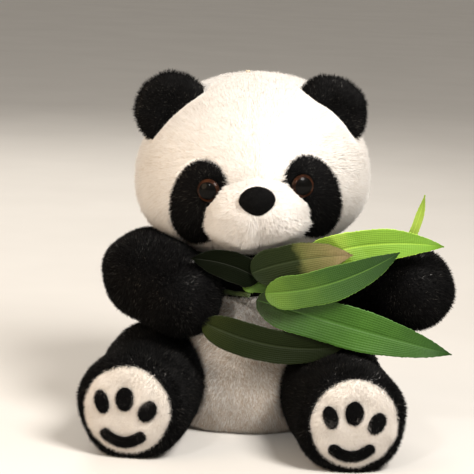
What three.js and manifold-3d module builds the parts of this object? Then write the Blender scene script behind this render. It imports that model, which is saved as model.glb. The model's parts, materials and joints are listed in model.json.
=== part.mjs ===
// A seated plush panda, about 18 cm tall, that holds a sprig of fabric bamboo leaves.
// Millimetres, +Z up. The panda faces -Y and its own left side is +X.
// The origin is the middle of the flat base panel that it sits on.
import * as THREE from "three";
import { mergeVertices } from "three/addons/utils/BufferGeometryUtils.js";
import Module from "manifold-3d";

const wasm = await Module();
wasm.setup();

// Driving dimensions
const FABRIC = 1.5; // plush fabric with the foot of its pile
const GAP = 0.3; // clearance between pieces that touch
const FLEX_GAP = 1; // clearance where an arm moves
const EAR_GAP = 1.3; // clearance where an ear moves
const HIP_GAP = 1.5; // clearance where a leg swings
const THREAD = 0.8; // radius of the thick thread at the neck, and thickness of the one at the paw

const HEAD = {
  centre: [0.5, 0, 131],
  halfWidth: 58.2,
  halfDepth: 48,
  up: 50,
  down: 39,
  tilt: 5, // degrees, sideways
  turn: 1.8, // degrees, about the vertical
};
const CHEEK_POWER = 2.6; // 2 is an ellipsoid, more is fuller under the cheeks
const NECK_OPENING = 18;
const EAR = { radius: 18.5, y: -14, halfDepth: 5 };
const EAR_PLACES = { right: [-39.2, 35.6], left: [39.8, 30.2] }; // across and up from the middle of the head
const EYE = { x: 22, z: -1.2, radius: 6.2, dome: 4.2, rim: 0.6, shaft: 1.5, shaftLength: 11 };
const EYE_SEAT = 1; // how far the eye's flat back stands off the patch under it
const PATCH = { x: 28, z: -8.5, halfLength: 21, halfWidth: 13.5, slant: 14, fabric: 1.3 };
const MUZZLE = { y: -38, z: -12.3, halfWidth: 25.2, reach: 28, halfHeight: 16.3 };
const NOSE = {
  y: -64.5,
  z: -5.2,
  halfWidth: 9.2,
  halfDepth: 4.6,
  halfHeight: 7.2,
  shaft: 1.5,
  shaftLength: 12,
};
const WASHER = { eye: 5.5, nose: 3.6, thickness: 1.5 };
const KNOT = 1.3; // radius of the thread knot on the crown

// Torso: its outline bulges towards two control points, given as radius and height
const TORSO = { height: 88, neck: 24, base: 29, depth: 0.95, lower: [50, 4], upper: [48, 48] };
const YOKE_EDGE = 71; // height of the seam between the white belly and the black shoulder band
const BASE_PANEL = 25;
const BEAN_BAG = { y: 12, radius: 18, height: 15 };
const TAIL = { y: 40, z: 19, size: [11, 10, 10.5] };

const ARMS = {
  right: {
    side: -1,
    path: [[-42, 4, 76], [-52, -18, 79.5], [-32, -48, 74]],
    radii: [17, 20.5, 18],
  },
  left: {
    side: 1,
    path: [[42, 4, 77], [62, -12, 82], [84, -33, 79]],
    radii: [17, 18, 18.5],
  },
};
const ARMHOLE = 9;
const LEGS = {
  right: { side: -1, path: [[-44, -22, 26.2], [-49, -52, 24.2], [-54, -79, 24.6]], radii: [26, 24.5, 25] },
  left: { side: 1, path: [[44, -22, 26.2], [48.5, -56, 24], [53, -86, 24.5]], radii: [26, 24.2, 25] },
};
const LEGHOLE = 12;
const LEGHOLE_BACK = 0.25; // how far back a leg hole points, per unit inwards
const FOOT_CAP = 9; // how far the rounded sole end reaches past the leg
const SOLE = 21.6;
const PAD = 1.1; // thickness of the sewn-on pads
// Toe pads of a sole, from the panda's right to its left: across, up, half width, half height, lean
const TOES = [
  [-12.2, 3.6, 3.4, 5.6, 16],
  [-0.8, 5.8, 4.3, 5.7, 0],
  [10.5, 0.9, 3.9, 5.4, -30],
];
const TOE_NAMES = { right: ["outer", "middle", "inner"], left: ["inner", "middle", "outer"] };
// Main pad: a rounded bar along an arc, from the middle of the sole
const MAIN_PAD = { across: -1.2, halfLength: 8.6, up: -12.2, sag: 3.4, halfThickness: 2.7 };

const LEAF = 0.7; // thickness of the starched leaf cloth
const LEAF_NARROWEST = 0.7; // half width that is left at the base and at the tip
const STEM = 1.3;
const STITCH_ALONG_STEM = 0.28; // where the thread ring sits, as a share of the stem
const STEM_PATH = [[-17, -29.5, 72], [-12, -36, 74.5], [-5, -46, 76], [1, -53.5, 77]];
// Each leaf: base, bend and tip of its midrib, half width, fold (how far the edges stand in front), hue
const LEAVES = {
  lower_dark_leaf: {
    rib: [[-21, -60.5, 64], [14, -57, 46.5], [50, -57, 54]],
    halfWidth: 8.6,
    fold: 1,
    tone: 0x1d4a12,
  },
  long_lower_leaf: {
    rib: [[5, -55, 75], [52, -64, 64], [103, -54, 51.5]],
    halfWidth: 10.6,
    fold: 1.6,
    tone: 0x3f8c1e,
  },
  middle_leaf: {
    rib: [[9, -60, 79.5], [42, -67.5, 82], [73.5, -63, 103.5]],
    halfWidth: 8.6,
    fold: 1.5,
    tone: 0x2f7a1c,
  },
  short_back_leaf: {
    rib: [[-3, -52, 83], [10, -53.2, 84.2], [26, -53.6, 86]],
    halfWidth: 5.5,
    fold: 0.8,
    tone: 0x235c16,
  },
  upper_dark_leaf: {
    rib: [[2, -56, 88.5], [23, -61, 98.5], [51, -59.5, 100.5]],
    halfWidth: 9,
    fold: 1.2,
    tone: 0x2a5716,
  },
  bright_upper_leaf: {
    rib: [[27, -53.4, 95.5], [58, -56, 109], [96, -53, 105.5]],
    halfWidth: 8.2,
    fold: 1.2,
    tone: 0x6fae35,
  },
  upright_tip_leaf: {
    rib: [[76, -49.5, 100], [83.5, -48.5, 114], [85.6, -47.5, 130]],
    halfWidth: 2.3,
    fold: 0.4,
    tone: 0x3c7d22,
  },
  left_dark_leaf: {
    rib: [[6, -53.5, 85], [-8, -58.5, 94.5], [-28, -58, 95]],
    halfWidth: 7.5,
    fold: 0.8,
    tone: 0x33491c,
  },
};

const WHITE = 0xf5ede2;
const BLACK = 0x101010;
const plush = (color) => new THREE.MeshStandardMaterial({ color, roughness: 0.95, metalness: 0 });
const filling = (color) => new THREE.MeshStandardMaterial({ color, roughness: 1, metalness: 0 });
const plastic = (color, roughness) => new THREE.MeshStandardMaterial({ color, roughness, metalness: 0 });
const radians = THREE.MathUtils.degToRad;
const vector = (p) => new THREE.Vector3(...p);

// A closed geometry as a solid whose faces point outwards.
function solid(geometry) {
  geometry.deleteAttribute("normal");
  geometry.deleteAttribute("uv");
  const merged = mergeVertices(geometry, 1e-4);
  const vertProperties = new Float32Array(merged.attributes.position.array);
  const triVerts = new Uint32Array(merged.index.array);
  const made = () => new wasm.Manifold(new wasm.Mesh({ numProp: 3, vertProperties, triVerts }));
  if (made().volume() > 0) return made();
  for (let i = 0; i < triVerts.length; i += 3) {
    [triVerts[i + 1], triVerts[i + 2]] = [triVerts[i + 2], triVerts[i + 1]];
  }
  return made();
}

function mesh(name, made, material) {
  const { numProp, numVert, vertProperties, triVerts } = made.getMesh();
  const points = new Float32Array(numVert * 3);
  for (let i = 0; i < numVert; i++) points.set(vertProperties.subarray(i * numProp, i * numProp + 3), i * 3);
  const geometry = new THREE.BufferGeometry();
  geometry.setAttribute("position", new THREE.BufferAttribute(points, 3));
  geometry.setIndex(new THREE.BufferAttribute(new Uint32Array(triVerts), 1));
  geometry.computeVertexNormals();
  const result = new THREE.Mesh(geometry, material);
  result.name = name;
  return result;
}

function eachVertex(geometry, change) {
  const position = geometry.getAttribute("position");
  const point = new THREE.Vector3();
  for (let i = 0; i < position.count; i++) {
    change(point.fromBufferAttribute(position, i));
    position.setXYZ(i, point.x, point.y, point.z);
  }
  return geometry;
}

const ball = (size, centre, around = 14, along = 8) =>
  solid(
    new THREE.SphereGeometry(1, around, along).rotateX(Math.PI / 2).scale(...size).translate(...centre),
  );

const block = (low, high) =>
  solid(
    new THREE.BoxGeometry(high[0] - low[0], high[1] - low[1], high[2] - low[2]).translate(
      (low[0] + high[0]) / 2,
      (low[1] + high[1]) / 2,
      (low[2] + high[2]) / 2,
    ),
  );

// A straight rod from one point along a direction.
function rod(start, direction, length, radius, sides = 12) {
  const geometry = new THREE.CylinderGeometry(radius, radius, length, sides).translate(0, length / 2, 0);
  const along = vector(direction).normalize();
  const turn = new THREE.Quaternion().setFromUnitVectors(new THREE.Vector3(0, 1, 0), along);
  return solid(geometry.applyQuaternion(turn).translate(...start));
}

// Head, in its own frame: an egg that is widest low down, with full cheeks.
function headSolid(grow, around = 20, along = 12) {
  const geometry = new THREE.SphereGeometry(1, around, along).rotateX(Math.PI / 2);
  eachVertex(geometry, (p) => {
    const power = p.z < 0 ? 2 / CHEEK_POWER : 1;
    const ring = Math.hypot(p.x, p.y);
    const wider = ring > 1e-6 ? ring ** power / ring : 1;
    p.x *= wider * (HEAD.halfWidth + grow);
    p.y *= wider * (HEAD.halfDepth + grow);
    p.z = Math.sign(p.z) * Math.abs(p.z) ** power * ((p.z < 0 ? HEAD.down : HEAD.up) + grow);
  });
  return solid(geometry);
}

const muzzleSolid = (grow) =>
  ball(
    [MUZZLE.halfWidth + grow, MUZZLE.reach + grow, MUZZLE.halfHeight + grow],
    [0, MUZZLE.y, MUZZLE.z],
    16,
    10,
  );

const noseSolid = (grow) =>
  ball(
    [NOSE.halfWidth + grow, NOSE.halfDepth + grow, NOSE.halfHeight + grow],
    [0, NOSE.y, NOSE.z],
    14,
    8,
  );

const headDepthAt = (x, z) => {
  const height = z < 0 ? HEAD.down : HEAD.up;
  const power = z < 0 ? CHEEK_POWER : 2;
  const ring = (1 - (Math.abs(z) / height) ** power) ** (1 / power);
  return -HEAD.halfDepth * Math.sqrt(ring ** 2 - (x / HEAD.halfWidth) ** 2);
};

// A washer that locks on a plastic shaft behind the fabric, from its front face along a direction.
function washer(start, direction, radius, hole) {
  const section = [[hole, 0], [radius, 0], [radius, WASHER.thickness], [hole, WASHER.thickness], [hole, 0]];
  const ring = new THREE.LatheGeometry(section.map(([r, height]) => new THREE.Vector2(r, height)), 16);
  const along = vector(direction).normalize();
  const turn = new THREE.Quaternion().setFromUnitVectors(new THREE.Vector3(0, 1, 0), along);
  return solid(ring.applyQuaternion(turn).translate(...start));
}

function buildHead() {
  const group = new THREE.Group();
  const outer = headSolid(0);
  const openings = rod([0, 0, -HEAD.down + 12], [0, 0, -1], 20, NECK_OPENING, 18);
  let stuffing = headSolid(-FABRIC - GAP);
  let cover = outer.subtract(headSolid(-FABRIC)).subtract(openings);
  const muzzleClear = muzzleSolid(GAP);
  let muzzleRoom = headSolid(GAP).add(noseSolid(GAP));

  for (const [name, side] of [["right", -1], ["left", 1]]) {
    const x = side * EYE.x;
    const y = headDepthAt(x, EYE.z);
    const outward = [x / HEAD.halfWidth ** 2, y / HEAD.halfDepth ** 2, EYE.z / HEAD.up ** 2];
    const normal = vector(outward).normalize();
    const at = (reach) => vector([x, y, EYE.z]).addScaledVector(normal, reach).toArray();
    const inward = normal.clone().negate().toArray();
    const seat = PATCH.fabric + EYE_SEAT;

    const profile = [new THREE.Vector2(0, -EYE.shaftLength), new THREE.Vector2(EYE.shaft, -EYE.shaftLength)];
    profile.push(new THREE.Vector2(EYE.shaft, 0), new THREE.Vector2(EYE.radius, 0));
    for (let step = 1; step <= 5; step++) {
      const angle = (step / 5) * (Math.PI / 2);
      const height = EYE.rim + (EYE.dome - EYE.rim) * Math.sin(angle);
      profile.push(new THREE.Vector2(EYE.radius * Math.cos(angle), height));
    }
    profile[profile.length - 1].x = 0;
    const upright = new THREE.Quaternion().setFromUnitVectors(new THREE.Vector3(0, 1, 0), normal);
    const eye = new THREE.LatheGeometry(profile, 16).applyQuaternion(upright).translate(...at(seat));
    group.add(mesh(`${name}_eye`, solid(eye), plastic(0x140a05, 0.08)));

    const hole = rod(at(seat), inward, EYE.shaftLength + 4, EYE.shaft + GAP);
    cover = cover.subtract(hole);
    const washerAt = at(-FABRIC - GAP - 1);
    const eyeWasher = washer(washerAt, inward, WASHER.eye, EYE.shaft + GAP);
    group.add(mesh(`${name}_eye_washer`, eyeWasher, plastic(0xd8d4c8, 0.5)));
    stuffing = stuffing.subtract(rod(at(2), inward, EYE.shaftLength + 3, WASHER.eye + GAP));
    muzzleRoom = muzzleRoom.add(rod(at(8), inward, 20, EYE.radius + GAP, 12));

    const oval = new THREE.CylinderGeometry(1, 1, 40, 20)
      .scale(PATCH.halfWidth, 1, PATCH.halfLength)
      .rotateY(radians(-side * PATCH.slant))
      .translate(side * PATCH.x, -HEAD.halfDepth, PATCH.z);
    const patch = headSolid(GAP + PATCH.fabric)
      .subtract(headSolid(GAP))
      .intersect(solid(oval))
      .subtract(muzzleClear)
      .subtract(hole);
    const pieces = patch.decompose().sort((a, b) => b.volume() - a.volume());
    group.add(mesh(`${name}_eye_patch`, pieces[0], plush(BLACK)));
  }

  const half = (side) => {
    const far = side * (HEAD.halfWidth + 5);
    const near = (side * GAP) / 2;
    return block([Math.min(near, far), -60, -60], [Math.max(near, far), 60, 60]);
  };
  group.add(mesh("right_head_cover", cover.intersect(half(-1)), plush(WHITE)));
  group.add(mesh("left_head_cover", cover.intersect(half(1)), plush(WHITE)));
  group.add(mesh("head_stuffing", stuffing, filling(0xfafafa)));

  const noseShaft = rod([0, NOSE.y, NOSE.z], [0, 1, 0], NOSE.shaftLength, NOSE.shaft);
  group.add(mesh("nose", noseSolid(0).add(noseShaft), plush(BLACK)));
  const noseHole = rod([0, NOSE.y, NOSE.z], [0, 1, 0], NOSE.shaftLength + 2, NOSE.shaft + GAP);
  const washerY = NOSE.y + NOSE.shaftLength - WASHER.thickness - 1;
  const noseWasher = washer([0, washerY, NOSE.z], [0, 1, 0], WASHER.nose, NOSE.shaft + GAP);
  group.add(mesh("nose_washer", noseWasher, plastic(0xd8d4c8, 0.5)));
  const muzzleCover = muzzleSolid(0)
    .subtract(muzzleSolid(-FABRIC))
    .subtract(muzzleRoom)
    .subtract(noseHole);
  group.add(mesh("muzzle_cover", muzzleCover, plush(WHITE)));
  const muzzleStuffing = muzzleSolid(-FABRIC - GAP)
    .subtract(muzzleRoom)
    .subtract(rod([0, NOSE.y, NOSE.z], [0, 1, 0], NOSE.shaftLength + 1, WASHER.nose + GAP));
  group.add(mesh("muzzle_stuffing", muzzleStuffing, filling(0xfafafa)));

  const knot = new THREE.IcosahedronGeometry(KNOT, 1).translate(0, 0, HEAD.up + GAP + KNOT);
  group.add(mesh("crown_knot", solid(knot), plush(0xf3e6cf)));

  const earClear = headSolid(EAR_GAP);
  for (const [name, [x, z]] of Object.entries(EAR_PLACES)) {
    const whole = ball([EAR.radius, EAR.halfDepth, EAR.radius], [x, EAR.y, z], 16, 8);
    const ear = whole.subtract(earClear);
    const front = ear.intersect(block([-90, -40, -20], [90, EAR.y - GAP / 2, 90]));
    const back = ear.intersect(block([-90, EAR.y + GAP / 2, -20], [90, 30, 90]));
    group.add(mesh(`${name}_ear_front`, front, plush(BLACK)));
    group.add(mesh(`${name}_ear_back`, back, plush(BLACK)));
  }

  group.position.set(...HEAD.centre);
  group.rotation.set(0, radians(-HEAD.tilt), radians(HEAD.turn), "ZYX");
  return group;
}

// A stuffed limb: a capsule bent along a curve, a full ball at its joint and a rounded or flat end.
function limbSolid({ path, radii }, grow, endDepth = null) {
  const LENGTH = 2;
  const geometry = new THREE.CapsuleGeometry(1, LENGTH, 3, 14, 3);
  const curve = new THREE.CatmullRomCurve3(path.map(vector));
  const radiusAt = (t) => {
    const [start, middle, end] = radii;
    return (1 - t) * (1 - 2 * t) * start + 4 * t * (1 - t) * middle + t * (2 * t - 1) * end;
  };
  const up = new THREE.Vector3(0, 0, 1);
  eachVertex(geometry, (p) => {
    const along = THREE.MathUtils.clamp(p.y, -LENGTH / 2, LENGTH / 2);
    const past = p.y - along;
    const t = (along + LENGTH / 2) / LENGTH;
    const radius = radiusAt(t) + grow;
    const tangent = curve.getTangentAt(t);
    const sideways = new THREE.Vector3().crossVectors(tangent, up).normalize();
    const upright = new THREE.Vector3().crossVectors(sideways, tangent);
    let reach = past * radius;
    let ring = radius;
    if (endDepth !== null && past > 0) {
      reach = past * (endDepth + grow);
      const round = Math.hypot(p.x, p.z);
      ring = round > 1e-6 ? (radius * round ** 0.6) / round : radius;
    }
    const centre = curve.getPointAt(t).addScaledVector(tangent, reach);
    const across = -p.x * ring;
    const rise = p.z * ring;
    p.copy(centre).addScaledVector(sideways, across).addScaledVector(upright, rise);
  });
  return solid(geometry);
}

const armSolid = (arm, grow) => limbSolid(arm, grow);
const legSolid = (leg, grow) => limbSolid(leg, grow, FOOT_CAP);

// The frame of a sole: its middle, the way it faces, and its sideways and upward directions.
function soleFrame(leg) {
  const points = leg.path.map(vector);
  const end = points.at(-1);
  const facing = new THREE.CatmullRomCurve3(points).getTangentAt(1);
  const across = new THREE.Vector3().crossVectors(facing, new THREE.Vector3(0, 0, 1)).normalize();
  const up = new THREE.Vector3().crossVectors(across, facing);
  return { end, facing, across, up };
}

// A prism through the sole, from an outline drawn on it: across, up.
function throughSole(leg, outline) {
  const { end, facing, across, up } = soleFrame(leg);
  const geometry = new THREE.ExtrudeGeometry(outline, { depth: 30, bevelEnabled: false, curveSegments: 4 });
  const frame = new THREE.Matrix4().makeBasis(across.clone().negate(), up, facing);
  frame.setPosition(end.clone().addScaledVector(facing, -5));
  return solid(geometry.applyMatrix4(frame));
}

const circle = (radius) => new THREE.Shape().absarc(0, 0, radius, 0, 2 * Math.PI);

function toeOutline([across, up, halfWidth, halfHeight, lean]) {
  const shape = new THREE.Shape();
  shape.absellipse(across, up, halfWidth, halfHeight, 0, 2 * Math.PI, false, radians(lean));
  return shape;
}

// The main pad's outline: along the lower side of its arc, round one end, and back along the upper side.
function mainPadOutline() {
  const STEPS = 8;
  const { across, halfLength, up, sag, halfThickness } = MAIN_PAD;
  const arc = (share) => [across + halfLength * share, up - sag * (1 - share ** 2)];
  const slope = (share) => Math.atan2(2 * sag * share, halfLength);
  const points = [];
  for (const side of [-1, 1]) {
    for (let step = 0; step <= STEPS; step++) {
      const share = -side * ((2 * step) / STEPS - 1);
      const angle = slope(share) + (side * Math.PI) / 2;
      const [x, y] = arc(share);
      points.push([x + halfThickness * Math.cos(angle), y + halfThickness * Math.sin(angle)]);
    }
    const end = -side;
    const [x, y] = arc(end);
    for (let step = 1; step < STEPS; step++) {
      const angle = slope(end) + (side * Math.PI) / 2 + (Math.PI * step) / STEPS;
      points.push([x + halfThickness * Math.cos(angle), y + halfThickness * Math.sin(angle)]);
    }
  }
  return new THREE.Shape(points.map(([x, y]) => new THREE.Vector2(x, y)));
}

function buildLeg(name, leg) {
  const group = new THREE.Group();
  const shell = legSolid(leg, 0).subtract(legSolid(leg, -FABRIC));
  const hip = rod(leg.path[0], [-leg.side, LEGHOLE_BACK, 0], 40, LEGHOLE, 14);
  const cover = shell.subtract(throughSole(leg, circle(SOLE + GAP))).subtract(hip);
  group.add(mesh(`${name}_leg_cover`, cover, plush(BLACK)));
  group.add(mesh(`${name}_leg_stuffing`, legSolid(leg, -FABRIC - GAP), filling(0xfafafa)));
  group.add(mesh(`${name}_sole`, shell.intersect(throughSole(leg, circle(SOLE))), plush(WHITE)));
  const padLayer = legSolid(leg, GAP + PAD).subtract(legSolid(leg, GAP));
  for (const [i, place] of TOES.entries()) {
    const pad = padLayer.intersect(throughSole(leg, toeOutline(place)));
    group.add(mesh(`${name}_${TOE_NAMES[name][i]}_toe_pad`, pad, plush(BLACK)));
  }
  group.add(mesh(`${name}_main_pad`, padLayer.intersect(throughSole(leg, mainPadOutline())), plush(BLACK)));
  return group;
}

function buildArm(name, arm) {
  const group = new THREE.Group();
  const shoulder = rod(arm.path[0], [-arm.side, 0, 0], 30, ARMHOLE, 14);
  const cover = armSolid(arm, 0).subtract(armSolid(arm, -FABRIC)).subtract(shoulder);
  group.add(mesh(`${name}_arm_cover`, cover, plush(BLACK)));
  group.add(mesh(`${name}_arm_stuffing`, armSolid(arm, -FABRIC - GAP), filling(0xfafafa)));
  return group;
}

// The pear of the torso, with a dent where each limb presses into it.
function torsoSolid(shrink) {
  const side = new THREE.CubicBezierCurve(
    new THREE.Vector2(TORSO.base - shrink, shrink),
    new THREE.Vector2(TORSO.lower[0] - shrink, TORSO.lower[1] + shrink / 2),
    new THREE.Vector2(TORSO.upper[0] - shrink, TORSO.upper[1]),
    new THREE.Vector2(TORSO.neck - shrink, TORSO.height - shrink),
  );
  const profile = [new THREE.Vector2(0, shrink), ...side.getPoints(7)];
  profile.push(new THREE.Vector2(0, TORSO.height - shrink));
  const pear = solid(new THREE.LatheGeometry(profile, 18).rotateX(Math.PI / 2).scale(1, TORSO.depth, 1));
  const limbs = [
    ...Object.values(ARMS).map((arm) => armSolid(arm, FLEX_GAP + shrink)),
    ...Object.values(LEGS).map((leg) => legSolid(leg, HIP_GAP + shrink)),
  ];
  return limbs.reduce((body, limb) => body.subtract(limb), pear);
}

function beanBagSolid(grow, down) {
  const floor = FABRIC + 2 * GAP;
  const profile = [
    new THREE.Vector2(0, floor - down),
    new THREE.Vector2(BEAN_BAG.radius - 4 + grow + (down ? 4 : 0), floor - down),
    new THREE.Vector2(BEAN_BAG.radius + grow, floor + 4),
    new THREE.Vector2(BEAN_BAG.radius - 2 + grow, BEAN_BAG.height - 3 + grow),
    new THREE.Vector2(0, BEAN_BAG.height + grow),
  ];
  return solid(new THREE.LatheGeometry(profile, 16).rotateX(Math.PI / 2).translate(0, BEAN_BAG.y, 0));
}

function buildTorso() {
  const group = new THREE.Group();
  const outer = torsoSolid(0);
  let shell = outer.subtract(torsoSolid(FABRIC));
  shell = shell.subtract(rod([0, 0, TORSO.height - 8], [0, 0, 1], 20, NECK_OPENING, 18));
  for (const arm of Object.values(ARMS)) {
    shell = shell.subtract(rod(arm.path[0], [-arm.side, 0, 0], 28, ARMHOLE, 14));
  }
  for (const leg of Object.values(LEGS)) {
    shell = shell.subtract(rod(leg.path[0], [-leg.side, LEGHOLE_BACK, 0], 34, LEGHOLE, 14));
  }
  const seat = rod([0, 0, -1], [0, 0, 1], FABRIC + 1.2, BASE_PANEL + GAP, 24);
  const below = block([-90, -90, -1], [90, 90, YOKE_EDGE - GAP / 2]);
  const above = block([-90, -90, YOKE_EDGE + GAP / 2], [90, 90, 120]);
  group.add(mesh("belly_cover", shell.intersect(below).subtract(seat), plush(WHITE)));
  group.add(mesh("shoulder_yoke", shell.intersect(above), plush(BLACK)));
  const panel = rod([0, 0, 0], [0, 0, 1], FABRIC, BASE_PANEL, 24);
  group.add(mesh("base_panel", panel, plush(WHITE)));
  const stuffing = torsoSolid(FABRIC + GAP).subtract(beanBagSolid(GAP, 4));
  group.add(mesh("torso_stuffing", stuffing, filling(0xfafafa)));
  group.add(mesh("bean_bag", beanBagSolid(0, 0), filling(0xc9b99a)));
  const tail = ball(TAIL.size, [0, TAIL.y, TAIL.z], 18, 10).subtract(torsoSolid(-GAP));
  group.add(mesh("tail", tail, plush(WHITE)));
  return group;
}

// Half width of a leaf along its midrib: a strap that opens at the base and narrows from 0.42 on.
function leafHalfWidth(t, halfWidth) {
  const opening = Math.sqrt(1 - (1 - Math.min(t / 0.2, 1)) ** 2);
  const narrowing = 1 - Math.max((t - 0.42) / 0.58, 0) ** 2.5;
  return Math.max(LEAF_NARROWEST, halfWidth * opening * narrowing);
}

// One fabric leaf: a thin strip whose edges stand in front of its midrib in a shallow V.
function leafSolid({ rib, halfWidth, fold }) {
  const STEPS = 8;
  const geometry = new THREE.BoxGeometry(1, 1, 1, STEPS, 1, 2).translate(0.5, 0, 0);
  const curve = new THREE.QuadraticBezierCurve3(...rib.map(vector));
  const front = new THREE.Vector3(0, -1, 0);
  eachVertex(geometry, (p) => {
    const t = p.x;
    const tangent = curve.getTangent(t);
    const across = new THREE.Vector3().crossVectors(tangent, front).normalize();
    const out = new THREE.Vector3().crossVectors(across, tangent);
    const width = leafHalfWidth(t, halfWidth);
    const side = 2 * p.z;
    const lift = p.y * LEAF + fold * (Math.abs(side) - 1) * (width / halfWidth);
    p.copy(curve.getPoint(t)).addScaledVector(across, side * width).addScaledVector(out, lift);
  });
  return solid(geometry);
}

function buildSprig() {
  const group = new THREE.Group();
  const path = new THREE.CatmullRomCurve3(STEM_PATH.map(vector));
  const section = circle(STEM);
  const stem = new THREE.ExtrudeGeometry(section, { steps: 8, curveSegments: 4, extrudePath: path });
  group.add(mesh("sprig_stem", solid(stem), plush(0x2b3a17)));
  const stitchAt = path.getPointAt(STITCH_ALONG_STEM);
  const along = path.getTangentAt(STITCH_ALONG_STEM);
  const turn = new THREE.Quaternion().setFromUnitVectors(new THREE.Vector3(0, 0, 1), along);
  const stitch = new THREE.TorusGeometry(STEM + THREAD / 2 + GAP, THREAD / 2, 5, 10)
    .applyQuaternion(turn)
    .translate(...stitchAt.toArray());
  group.add(mesh("paw_stitch", solid(stitch), plush(BLACK)));
  for (const [name, leaf] of Object.entries(LEAVES)) {
    group.add(mesh(name, leafSolid(leaf), plush(leaf.tone)));
  }
  return group;
}

const panda = new THREE.Group();
panda.add(buildTorso(), buildHead());
for (const [name, arm] of Object.entries(ARMS)) panda.add(buildArm(name, arm));
for (const [name, leg] of Object.entries(LEGS)) panda.add(buildLeg(name, leg));
panda.add(buildSprig());
const stitchHeight = TORSO.height + GAP + THREAD;
const neckStitch = new THREE.TorusGeometry(NECK_OPENING + 3, THREAD, 5, 20).translate(0, 0, stitchHeight);
panda.add(mesh("neck_stitching", solid(neckStitch), plush(WHITE)));

export default panda;
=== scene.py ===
"""A seated plush panda that holds a sprig of fabric bamboo leaves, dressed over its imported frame.

Lengths are in millimetres until a mesh is made. The panda faces -Y and its own left side is +X.
"""

import json
import math

import bpy
import numpy as np
from mathutils import Matrix, Vector


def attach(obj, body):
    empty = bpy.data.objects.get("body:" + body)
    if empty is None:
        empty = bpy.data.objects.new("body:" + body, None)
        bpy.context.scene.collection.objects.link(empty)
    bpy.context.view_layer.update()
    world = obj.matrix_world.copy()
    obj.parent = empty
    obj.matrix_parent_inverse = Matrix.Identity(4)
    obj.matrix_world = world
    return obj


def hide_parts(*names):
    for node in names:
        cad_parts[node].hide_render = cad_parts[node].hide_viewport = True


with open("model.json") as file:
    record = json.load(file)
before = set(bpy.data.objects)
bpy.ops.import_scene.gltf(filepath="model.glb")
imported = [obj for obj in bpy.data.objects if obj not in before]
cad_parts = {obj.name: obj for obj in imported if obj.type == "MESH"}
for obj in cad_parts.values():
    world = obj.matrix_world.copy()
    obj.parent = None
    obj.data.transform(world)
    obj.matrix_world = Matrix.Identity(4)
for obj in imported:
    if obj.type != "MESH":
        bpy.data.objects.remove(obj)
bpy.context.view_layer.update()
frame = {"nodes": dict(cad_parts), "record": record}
SLOTS = {row["node"]: row["material_slot"] for row in frame["record"]["subparts"]}

MM = 0.001
FLOOR_CLEARANCE = 0.05  # the lowest a hair tip or a skin comes above the floor
random = np.random.default_rng(11)

# ---- dimensions

HEAD = {"centre": np.array([0.5, 0, 131]), "half_width": 58.2, "half_depth": 48, "up": 50, "down": 39}
HEAD_TILT, HEAD_TURN = 5.0, 1.8
CHEEK_POWER = 2.6
EAR = {"radius": 18.5, "y": -14.0, "half_depth": 5.0, "root": 0.6}
EAR_PLACES = {"right": (-39.2, 35.6), "left": (39.8, 30.2)}
EAR_HOLLOW = {"front": 1.4, "back": 0.3}
EYE = {"x": 22.0, "z": -1.2, "radius": 6.2, "dome": 4.2, "seat": 2.3, "shaft": 1.5, "shaft_length": 11}
IRIS = (4.4, 5.8)  # the inner and outer radius of the iris ring
PATCH = {"x": 28.0, "z": -8.5, "half_length": 21, "half_width": 13.5, "slant": 14}
MUZZLE = {"y": -38, "z": -12.3, "half_width": 25.2, "reach": 28, "half_height": 16.3}
MUZZLE_MIDDLE = np.array([0, MUZZLE["y"], MUZZLE["z"]])
MUZZLE_SIZE = np.array([MUZZLE["half_width"], MUZZLE["reach"], MUZZLE["half_height"]])
NOSE = {"y": -64.5, "z": -5.2, "half_width": 9.2, "half_depth": 4.6, "half_height": 7.2}
TORSO = {"height": 88, "neck": 24, "base": 29, "depth": 0.95, "lower": (50, 4), "upper": (48, 48)}
YOKE_EDGE = 71
BASE_PANEL = 25
TAIL = {"y": 40, "z": 19, "size": (11, 10, 10.5)}
ARMS = {
    "right": ([(-42, 4, 76), (-52, -18, 79.5), (-32, -48, 74)], (17, 20.5, 18)),
    "left": ([(42, 4, 77), (62, -12, 82), (84, -33, 79)], (17, 18, 18.5)),
}
LEGS = {
    "right": ([(-44, -22, 26.2), (-49, -52, 24.2), (-54, -79, 24.6)], (26, 24.5, 25)),
    "left": ([(44, -22, 26.2), (48.5, -56, 24), (53, -86, 24.5)], (26, 24.2, 25)),
}
FOOT_CAP = 9
SOLE = 21.6
# Toe pads of a sole, from the panda's right to its left: across, up, half width, half height, lean
TOES = ((-12.2, 3.6, 3.4, 5.6, 16), (-0.8, 5.8, 4.3, 5.7, 0), (10.5, 0.9, 3.9, 5.4, -30))
TOE_NAMES = {"right": ("outer", "middle", "inner"), "left": ("inner", "middle", "outer")}
MAIN_PAD = {"across": -1.2, "half_length": 8.6, "up": -12.2, "sag": 3.4, "half_thickness": 2.7}
STEM_PATH = [(-17, -29.5, 72), (-12, -36, 74.5), (-5, -46, 76), (1, -53.5, 77)]
STEM_RADIUS = 1.3
NECK_STITCHES = {"z": 89.1, "radius": 21, "zigzag": 0.35, "count": 26}
# Each pile's length, and its hairs per square millimetre
PILE = {
    "belly": (2.6, 4.2),
    "shoulder": (2.8, 4.2),
    "tail": (2.8, 4.2),
    "patch": (2.2, 7.0),
    "nose": (0.55, 22),
    "ear": (2.3, 6.0),
    "arm": (2.6, 4.4),
    "leg": (2.5, 4.4),
    "sole": (1.4, 7.0),
    "pad": (1.1, 9.0),
}
HEAD_PILE = {"length": 3.0, "shorter": 2.2, "density": 5.0}  # shorter beside the ears
MUZZLE_PILE = {"length": 1.9, "longer": 1.9, "density": 5.0}  # longer on the lower half

# ---- small maths


def unit(v):
    return v / np.maximum(np.linalg.norm(v, axis=-1, keepdims=True), 1e-9)


def along_surface(way, normal):
    return way - normal * np.sum(way * normal, 1, keepdims=True)


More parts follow.
